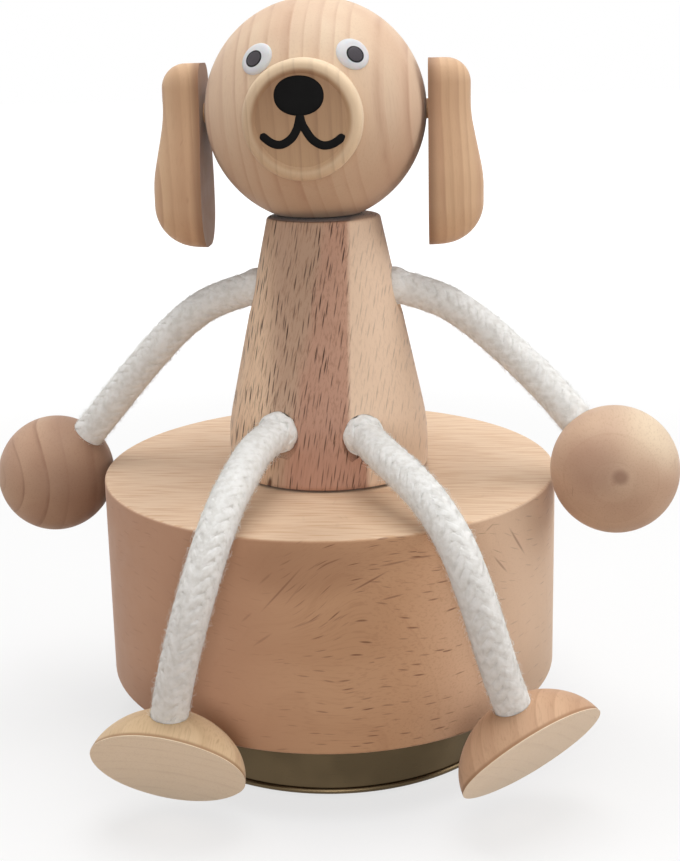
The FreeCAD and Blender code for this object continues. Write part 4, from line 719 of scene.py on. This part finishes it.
def fuzz_on(name, line, axes, body, material, seed):
    """Loose fibres that stand off a cord: bent hairs of three sides."""
    chance = random.Random(seed)
    points, faces = [], []
    for _ in range(len(line) * FIBRES_PER_STEP):
        index = chance.randrange(FUZZ_START, len(line) - 2)
        side, up, ahead = axes[index]
        angle = chance.uniform(0, math.tau)
        normal = side * math.cos(angle) + up * math.sin(angle)
        around = up * math.cos(angle) - side * math.sin(angle)
        heading = chance.uniform(-math.pi, math.pi)
        run = ahead * math.cos(heading) + around * math.sin(heading)
        long = chance.uniform(*FIBRE_LENGTHS)
        rise = chance.uniform(0.05, 0.95) ** 1.5
        root = line[index] + normal * CORD_RADIUS * FIBRE_ROOT
        knots = (
            root,
            root + (run * 0.6 + normal * (rise + 0.1)) * long * 0.5,
            root + (run * 1.1 + normal * rise * chance.uniform(0.4, 1.2)) * long,
        )
        flat = run.cross(normal).normalized()
        start = len(points)
        for knot, width in zip(knots, FIBRE_TAPER):
            for corner in range(3):
                turn = math.tau * corner / 3
                out = flat * math.cos(turn) + normal * math.sin(turn)
                points.append(knot + out * FIBRE_RADIUS * width)
        for ring in range(2):
            for corner in range(3):
                first = start + ring * 3 + corner
                second = start + ring * 3 + (corner + 1) % 3
                faces.append((first, second, second + 3, first + 3))
        faces.append((start + 2, start + 1, start))
        faces.append((start + 6, start + 7, start + 8))
    piece = new_piece(name + "_fuzz", points, faces, material)
    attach(piece, body)
    return piece


class Board:
    """A drawing board through the middle of the head, with right and up in its own view.

    ground says how far out from it the surface lies at each place.
    """

    def __init__(self, outward, ground):
        self.out = outward
        self.right = Vector((0, 0, 1)).cross(outward).normalized()
        self.up = outward.cross(self.right)
        self.ground = ground

    def at(self, across, upward, proud):
        """The point proud of the surface by that much."""
        depth = self.ground(across, upward) + proud
        return HEAD_CENTRE + self.right * across + self.up * upward + self.out * depth


def muzzle_ground(across, upward):
    """The muzzle's face is turned flat."""
    return MUZZLE_FACE


def eye_ground(across, upward):
    """The head's ball, and on it the domed face of an eye."""
    away = math.hypot(across, upward)
    dome = EYE_RISE * math.sqrt(max(1 - (away / EYE_RADIUS) ** 5, 0))
    return math.sqrt(HEAD_RADIUS ** 2 - away ** 2) + dome


def disc(name, board, centre, half_axes, heights, material, square=1.0, steps=72):
    """A round or oval piece on a surface, from its middle out.

    heights pairs a share of the way to the edge with how proud the piece is there.
    """
    points = [board.at(*centre, heights[0][1])]
    faces = [(0, 1 + step, 1 + (step + 1) % steps) for step in range(steps)]
    for ring, (share, proud) in enumerate(heights[1:]):
        for step in range(steps):
            angle = math.tau * step / steps
            across = centre[0] + half_axes[0] * share * power(math.cos(angle), square)
            upward = centre[1] + half_axes[1] * share * power(math.sin(angle), square)
            points.append(board.at(across, upward, proud))
        if ring:
            inner = 1 + (ring - 1) * steps
            for step in range(steps):
                after = (step + 1) % steps
                faces.append((inner + step, inner + steps + step, inner + steps + after, inner + after))
    piece = new_piece(name, points, faces, material)
    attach(piece, "head")


def coat_heights(thickness, sunk=0.00005, crown=0.25, rings=10):
    """Heights of a coat of paint: full in the middle, rounded off at its edge."""
    heights = []
    for ring in range(rings + 1):
        share = math.sin(QUARTER * ring / rings)
        rounded = math.sqrt(max(1 - share ** 16, 0))
        heights.append((share, thickness * (1 - crown * share ** 2) * rounded))
    return heights + [(1.0, -sunk)]


# Where the points of a brush stroke lie across it, and how deep its edges go into the wood
STROKE_LANES = (-1, -0.97, -0.85, -0.5, 0, 0.5, 0.85, 0.97, 1)
STROKE_SUNK = 0.00004
STROKE_PIECES = 12


def painted_stroke(name, board, path, width, thickness, material):
    """A brush stroke of paint along a path on a surface, with round ends."""
    line = smooth_path(path, STROKE_PIECES)
    along = [0.0]
    for first, second in zip(line, line[1:]):
        along.append(along[-1] + (second - first).length)
    half = width / 2
    points, faces = [], []
    for index, point in enumerate(line):
        ahead = (line[min(index + 1, len(line) - 1)] - line[max(index - 1, 0)]).normalized()
        flat = Vector((-ahead.y, ahead.x))
        from_end = min(along[index], along[-1] - along[index])
        narrow = math.sqrt(max(1 - (1 - min(from_end / half, 1)) ** 2, 0.0009))
        for lane in STROKE_LANES:
            proud = thickness * (1 - 0.5 * lane ** 4) * (0.4 + 0.6 * narrow)
            if abs(lane) == 1:
                proud = -STROKE_SUNK
            spot = point + flat * half * narrow * lane
            points.append(board.at(spot.x, spot.y, proud))
    lanes = len(STROKE_LANES)
    for index in range(len(line) - 1):
        for lane in range(lanes - 1):
            first = index * lanes + lane
            faces.append((first, first + 1, first + 1 + lanes, first + lanes))
    piece = new_piece(name, points, faces, material)
    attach(piece, "head")


def smooth_path(path, pieces):
    """A smooth curve through the path's own points."""
    knots = [Vector(point) for point in path]
    knots = [2 * knots[0] - knots[1]] + knots + [2 * knots[-1] - knots[-2]]
    curve = []
    for index in range(1, len(knots) - 2):
        before, start, end, after = knots[index - 1:index + 3]
        for step in range(pieces):
            t = step / pieces
            curve.append(0.5 * (
                2 * start + (end - before) * t + (2 * before - 5 * start + 4 * end - after) * t ** 2
                + (3 * start - before - 3 * end + after) * t ** 3
            ))
    curve.append(knots[-2])
    return curve


def eye(name, azimuth, elevation, pupil, white, grey, black):
    """A milky plastic button with a domed face, and its pupil printed on it with a black rim."""
    board = Board(direction(azimuth, elevation), eye_ground)
    dome = [(math.sin(QUARTER * ring / EYE_RINGS), 0) for ring in range(EYE_RINGS + 1)]
    disc(name, board, (0, 0), (EYE_RADIUS,) * 2, dome + [(1, -EYE_SUNK)], white)
    for part, radius, thickness, ink in (
        ("_pupil_rim", PUPIL_RADIUS, INK_RIM, black), ("_pupil", PUPIL_GREY_RADIUS, INK_MIDDLE, grey),
    ):
        disc(name + part, board, pupil, (radius,) * 2, coat_heights(thickness, INK_SUNK), ink)


def dress(material, *names):
    """Gives a material to CAD nodes, in every slot that they have."""
    for name in names:
        for slot in nodes[name].material_slots:
            slot.material = material


# Beech, steamed and turned: pinkish brown, with fine pores and short dark flecks where its rays are cut
drum_beech = wood(
    "steamed_beech_turned", ("#cea481", "#c29774"), "#97694b", "#6a4330",
    turn=(0, QUARTER, 0), pith=(0, 190, 0), sway=5, ripple=2.6,
    ring=7.0, ring_tone=0.08, line_width=0.5, line_strength=0.05,
    ray_cell=(2.1, 3.2, 4.6), ray_size=(0.18, 2.0, 1.5), ray_share=0.95, ray_strength=0.75,
    bend=drum_sweep, zones=drum_zones,
)
body_beech = wood(
    "plain_beech_turned", ("#ebceb1", "#e0be9f"), "#8f6850", "#412a1e",
    turn=(0, math.radians(-9), 0), sway=2, ring=4.5, ring_tone=0.2, line_strength=0.15,
    ray_cell=(0.9, 2.4, 4.5), ray_size=(0.19, 1.4, 2.6), ray_share=1.0, ray_strength=1.0,
    pore_strength=0.5, zones=torso_zones,
)
# Beech balls, tumbled smooth: rings show as curved bands, and hardly any flecks do
BALL = {
    "turn": (QUARTER, 0, 0), "ray_cell": (2.4, 5.0, 6.0), "ray_size": (0.12, 1.6, 1.1), "ray_share": 0.2,
    "ray_strength": 0.3,
}
hand_left_beech = wood(
    "beech_ball_sanded_left", ("#c9aa90", "#b08c75"), "#7a5543", "#6e4a3a",
    pith=(72, 53, 0), sway=2, ring=4.6, ring_tone=0.5, line_width=0.6, line_strength=0.5,
    pore_strength=0.15, zones=drum_side_shade_zones, **BALL,
)
hand_right_beech = wood(
    "beech_ball_sanded_right", ("#d5b99f", "#c3a28a"), "#9b755d", "#7a5543",
    pith=(-58, 60, 0), sway=3, ring=4.2, ring_tone=0.2, line_strength=0.1,
    pore_strength=0.2, zones=knot_and_light_zones, **BALL,
)
# Maple, sanded: pale and close-grained, with thin straight lines and hardly any flecks
PALE = {
    "ray_cell": (6.0, 1.6, 5.0), "ray_size": (2.4, 0.1, 1.0), "ray_share": 0.2, "ray_strength": 0.2,
    "pore_strength": 0.1, "ring_tone": 0.5,
}
head_maple = wood(
    "maple_ball_sanded", ("#e2cbb0", "#d6b69b"), "#a06f59", "#a57d60",
    turn=(0, math.radians(4), 0), pith=(120, 0, 0), sway=1.2,
    ring=3.4, line_width=0.8, line_strength=0.35, zones=head_zones, **PALE,
)
muzzle_maple = wood(
    "maple_disc_turned", ("#b39273", "#a27f62"), "#83614c", "#8f6c50",
    turn=(0, math.radians(3), 0), pith=(70, 20, 0), sway=1.0,
    ring=2.6, line_width=0.6, line_strength=0.5, zones=muzzle_zones, **PALE,
)
ear_maple = wood(
    "maple_flap_sanded", ("#d9b793", "#c9a383"), "#a3745a", "#9c6f55",
    turn=(0, math.radians(2), 0), pith=(70, 15, 0), sway=1.0,
    ring=2.3, line_width=0.8, line_strength=0.3, zones=ear_zones, **PALE,
)
# The paws are cut with their rings across the sole, so bands run up the dome
PAW_TONES = {"left": ("#dcc29e", "#cfb28d"), "right": ("#cfab8c", "#be987a")}
paw_maple = {
    side: wood(
        f"maple_paw_sanded_{side}", PAW_TONES[side], "#a37f60", "#9c7658",
        turn=(math.radians(70), 0, math.radians(20)), pith=(25, 5, 0), sway=2,
        ring=3.2, ring_tone=0.6, line_width=0.6, line_strength=0.35,
        ray_cell=(2.4, 6.0, 4.5), ray_size=(0.16, 2.0, 1.0), ray_share=0.3, ray_strength=0.4,
        pore_strength=0.3, zones=paw_zones(side),
    )
    for side in SOLES
}
# Birch board, planed: even, yellowish
board_birch = wood(
    "birch_board_planed", ("#dcc09a", "#cfae84"), "#b28f69", "#9b7450",
    turn=(0, QUARTER, 0), pith=(120, 0, 0), sway=5, ray_share=0.2,
)
# Beech dowel, drawn through a die: fine lines along it
dowel_wood = wood(
    "beech_dowel", ("#d3ad87", "#c69c76"), "#ac7f5c", "#83583f",
    turn=(0, QUARTER, 0), pith=(30, 20, 0), ring=1.8, sway=1, ray_share=0.3,
)

# Sheet steel, pressed and bronzed: dark brown, with the press's fine lines round it
foot_bronze = metal("bronzed_steel_pressed", "#665741", 0.33, grain=(4, 4, 0.15))
# Zinc plating: cool and bright, a little cloudy
zinc = metal("zinc_plated_screw_steel", "#c9ccd0", 0.3)
# Cast zinc as it leaves the mould: dull grey and grainy
cast_bed = metal("cast_zinc_bedplate", "#a9abad", 0.5, grain=(0.5, 0.5, 0.5), depth=0.04)
# Ground steel: an even satin shine
steel = metal("ground_steel", "#b9bbbe", 0.26)
# Spring steel, blued by heat: darker and bluish
spring_steel = metal("blued_spring_steel", "#70757d", 0.28)
# Turned brass: a warm yellow shine
brass = metal("turned_brass", "#cfa75c", 0.27)
# Moulded nylon: cream, half matt
worm_plastic = coat("moulded_nylon", "#ece8dc", 0.45)
# Wool felt, pressed: nearly black, quite matt, a little woolly at the edge
felt = coat("wool_felt_pressed", "#3b3a38", 0.95, wave=0.5, depth=0.2, **{"Sheen Weight": 0.3})
# Satin enamel, brushed on: deep black with hardly a highlight
black_paint = coat("black_satin_enamel", "#0c0b0b", 0.5, wave=2, depth=0.01, **{
    "Specular IOR Level": 0.06,
})
# Printing ink on the eyes: flat, thin and even
INK = {"wave": 0.5, "depth": 0.01, "Specular IOR Level": 0.2}
pupil_grey = coat("pupil_print_grey", "#474348", 0.4, **INK)
pupil_black = coat("pupil_print_black", "#121112", 0.4, **INK)
# Milky acrylic, moulded: bluish white, and light goes a little way into it
milky_plastic = coat("milky_plastic_button", "#d9dadd", 0.5, wave=3, depth=0.01, **{
    "Specular IOR Level": 0.2, "Subsurface Weight": 0.2, "Subsurface Scale": 0.0008,
})
cotton_braid = cotton()

dress(drum_beech, "base_housing")
dress(board_birch, "base_plate")
dress(body_beech, "torso")
dress(head_maple, "head_ball")
dress(muzzle_maple, "muzzle")
dress(ear_maple, "ear_left", "ear_right")
dress(hand_left_beech, "hand_ball_left")
dress(hand_right_beech, "hand_ball_right")
dress(paw_maple["left"], "hind_paw_left")
dress(paw_maple["right"], "hind_paw_right")
dress(dowel_wood, "neck_dowel", "ear_peg_left", "ear_peg_right")
dress(foot_bronze, "foot_cup")
dress(felt, "foot_pad")
dress(cotton_braid, "arm_cord_core", "leg_cord_core_left", "leg_cord_core_right")
dress(
    zinc, "foot_screw", "base_plate_screws", "bedplate_screws", "spring_housing_screws", "comb_screws",
    "bearing_screws", "governor_screw", "torso_screw",
)
dress(cast_bed, "bedplate", "bearing_near", "bearing_far", "spring_housing")
dress(spring_steel, "mainspring", "comb", "click")
dress(
    steel, "winding_arbor", "cylinder_arbor", "governor_arbor", "click_pin", "governor_frame",
    "ratchet_wheel",
)
dress(brass, "cylinder_barrel", "cylinder_pinion", "cylinder_gear", "great_wheel", "governor_pinion")
dress(worm_plastic, "worm_wheel", "worm", "fly_vane")

for seed, (name, route) in enumerate(ROUTES.items()):
    side = name.rsplit("_", 1)[1]
    body = "arm_" + side if name.startswith("arm") else "leg_" + side
    braid(name, route, body, cotton_braid, seed)

# Painted face
muzzle_board = Board(MUZZLE_AXIS, muzzle_ground)
disc(
    "nose_paint", muzzle_board, NOSE_PLACE, NOSE_HALF_AXES, coat_heights(NOSE_THICKNESS), black_paint,
    square=0.94,
)
for number, (name, path) in enumerate(MOUTHS.items()):
    thickness = MOUTH_THICKNESS + number * MOUTH_OVERLAP
    painted_stroke(name, muzzle_board, path, MOUTH_WIDTH, thickness, black_paint)
for name, (azimuth, elevation, pupil) in EYES.items():
    azimuth, elevation = math.radians(azimuth), math.radians(elevation)
    eye(name, azimuth, elevation, pupil, milky_plastic, pupil_grey, pupil_black)

# Floor and light
FILL = "#fcfaf7"
FILL_LEVEL = 0.25
FLOOR_REACH = 4.0
# Just under the felt pad, so that the two don't share a plane
FLOOR_HEIGHT = -0.0001
# Soft square lamps: place, side, watts and the point that each faces
LAMPS = {
    "overhead": ((0.05, 0.05, 0.8), 0.6, 5.2, (0, 0, 0.07)),
    "right": ((0.7, 0.0, 0.2), 0.5, 2.2, (0, 0, 0.07)),
    "left": ((-0.7, 0.0, 0.25), 0.5, 1.2, (0, 0, 0.07)),
    "front": ((0.05, -0.8, 0.12), 0.4, 2.35, (0, 0, 0.02)),
}


def seen_directly(put):
    """1 for the camera's rays, reflections and clear plastic, and 0 for the rest."""
    rays = put("LightPath").node.outputs
    seen = put("Math", rays["Is Camera Ray"], rays["Is Glossy Ray"], operation="MAXIMUM")
    return put("Math", seen, rays["Is Transmission Ray"], operation="MAXIMUM")


def make_floor():
    """A pale floor that keeps the object's shadow and fades to white."""
    corners = ((-1, -1), (1, -1), (1, 1), (-1, 1))
    corners = [(x * FLOOR_REACH, y * FLOOR_REACH, FLOOR_HEIGHT) for x, y in corners]
    material, put, shader = finish_of("pale_floor", **{"Roughness": 0.8, "Specular IOR Level": 0.0})
    seen = seen_directly(put)
    colour = put("Mix", {0: seen, 6: linear("#9c8573"), 7: linear("#8a8a8a")}, out=2, data_type="RGBA")
    link(colour, shader, "Base Color")
    away = put("VectorMath", put("TexCoord", out="Object"), operation="LENGTH", out="Value")
    glow = put("MapRange", away, 0.2, 0.6, 0.7, 1.1, interpolation_type="SMOOTHSTEP")
    white = put("Emission", {"Strength": put("Math", seen, glow, operation="MULTIPLY")})
    surface = shader.outputs[0].links[0].to_node
    link(put("AddShader", shader.outputs[0], white), surface, "Surface")
    floor = new_piece("floor", corners, [(0, 1, 2, 3)], material, smooth=False)


def make_world():
    """White surroundings for the camera and for reflections, and soft light from all round."""
    world = bpy.data.worlds.new("studio")
    bpy.context.scene.world = world
    world.use_nodes = True
    world.node_tree.nodes.clear()
    put = partial(add, world.node_tree)
    seen = seen_directly(put)
    colour = put("Mix", {0: seen, 6: linear(FILL), 7: linear("#ffffff")}, out=2, data_type="RGBA")
    put("OutputWorld", put("Background", colour, put("MapRange", seen, 0.0, 1.0, FILL_LEVEL, 1.0)))


def make_lamp(name, place, size, power_watts, target):
    """A soft square lamp that faces a point of the object."""
    lamp = bpy.data.lights.new(name, "AREA")
    lamp.size = size
    lamp.energy = power_watts
    holder = bpy.data.objects.new(name, lamp)
    bpy.context.scene.collection.objects.link(holder)
    holder.location = place
    away = Vector(place) - Vector(target)
    holder.rotation_euler = away.to_track_quat("Z", "Y").to_euler()


def make_camera():
    """The photograph's camera, with its principal point as lens shift."""
    data = bpy.data.cameras.new("camera")
    data.sensor_width = SENSOR_WIDTH
    data.lens = FOCAL_PIXELS / IMAGE_HEIGHT * SENSOR_WIDTH
    data.shift_x = (IMAGE_WIDTH / 2 - OPTICAL_CENTRE[0]) / IMAGE_HEIGHT
    data.shift_y = (OPTICAL_CENTRE[1] - IMAGE_HEIGHT / 2) / IMAGE_HEIGHT
    data.clip_start = 0.01
    camera = bpy.data.objects.new("camera", data)
    bpy.context.scene.collection.objects.link(camera)
    away = direction(CAMERA_AZIMUTH, CAMERA_ELEVATION)
    camera.location = CAMERA_AIM + away * CAMERA_DISTANCE
    level = away.to_track_quat("Z", "Y")
    camera.rotation_mode = "QUATERNION"
    camera.rotation_quaternion = level @ Quaternion((0, 0, 1), CAMERA_ROLL)
    bpy.context.scene.camera = camera


make_floor()
make_world()
for name, lamp in LAMPS.items():
    make_lamp(name, *lamp)
make_camera()
bpy.context.scene.view_settings.view_transform = "Standard"
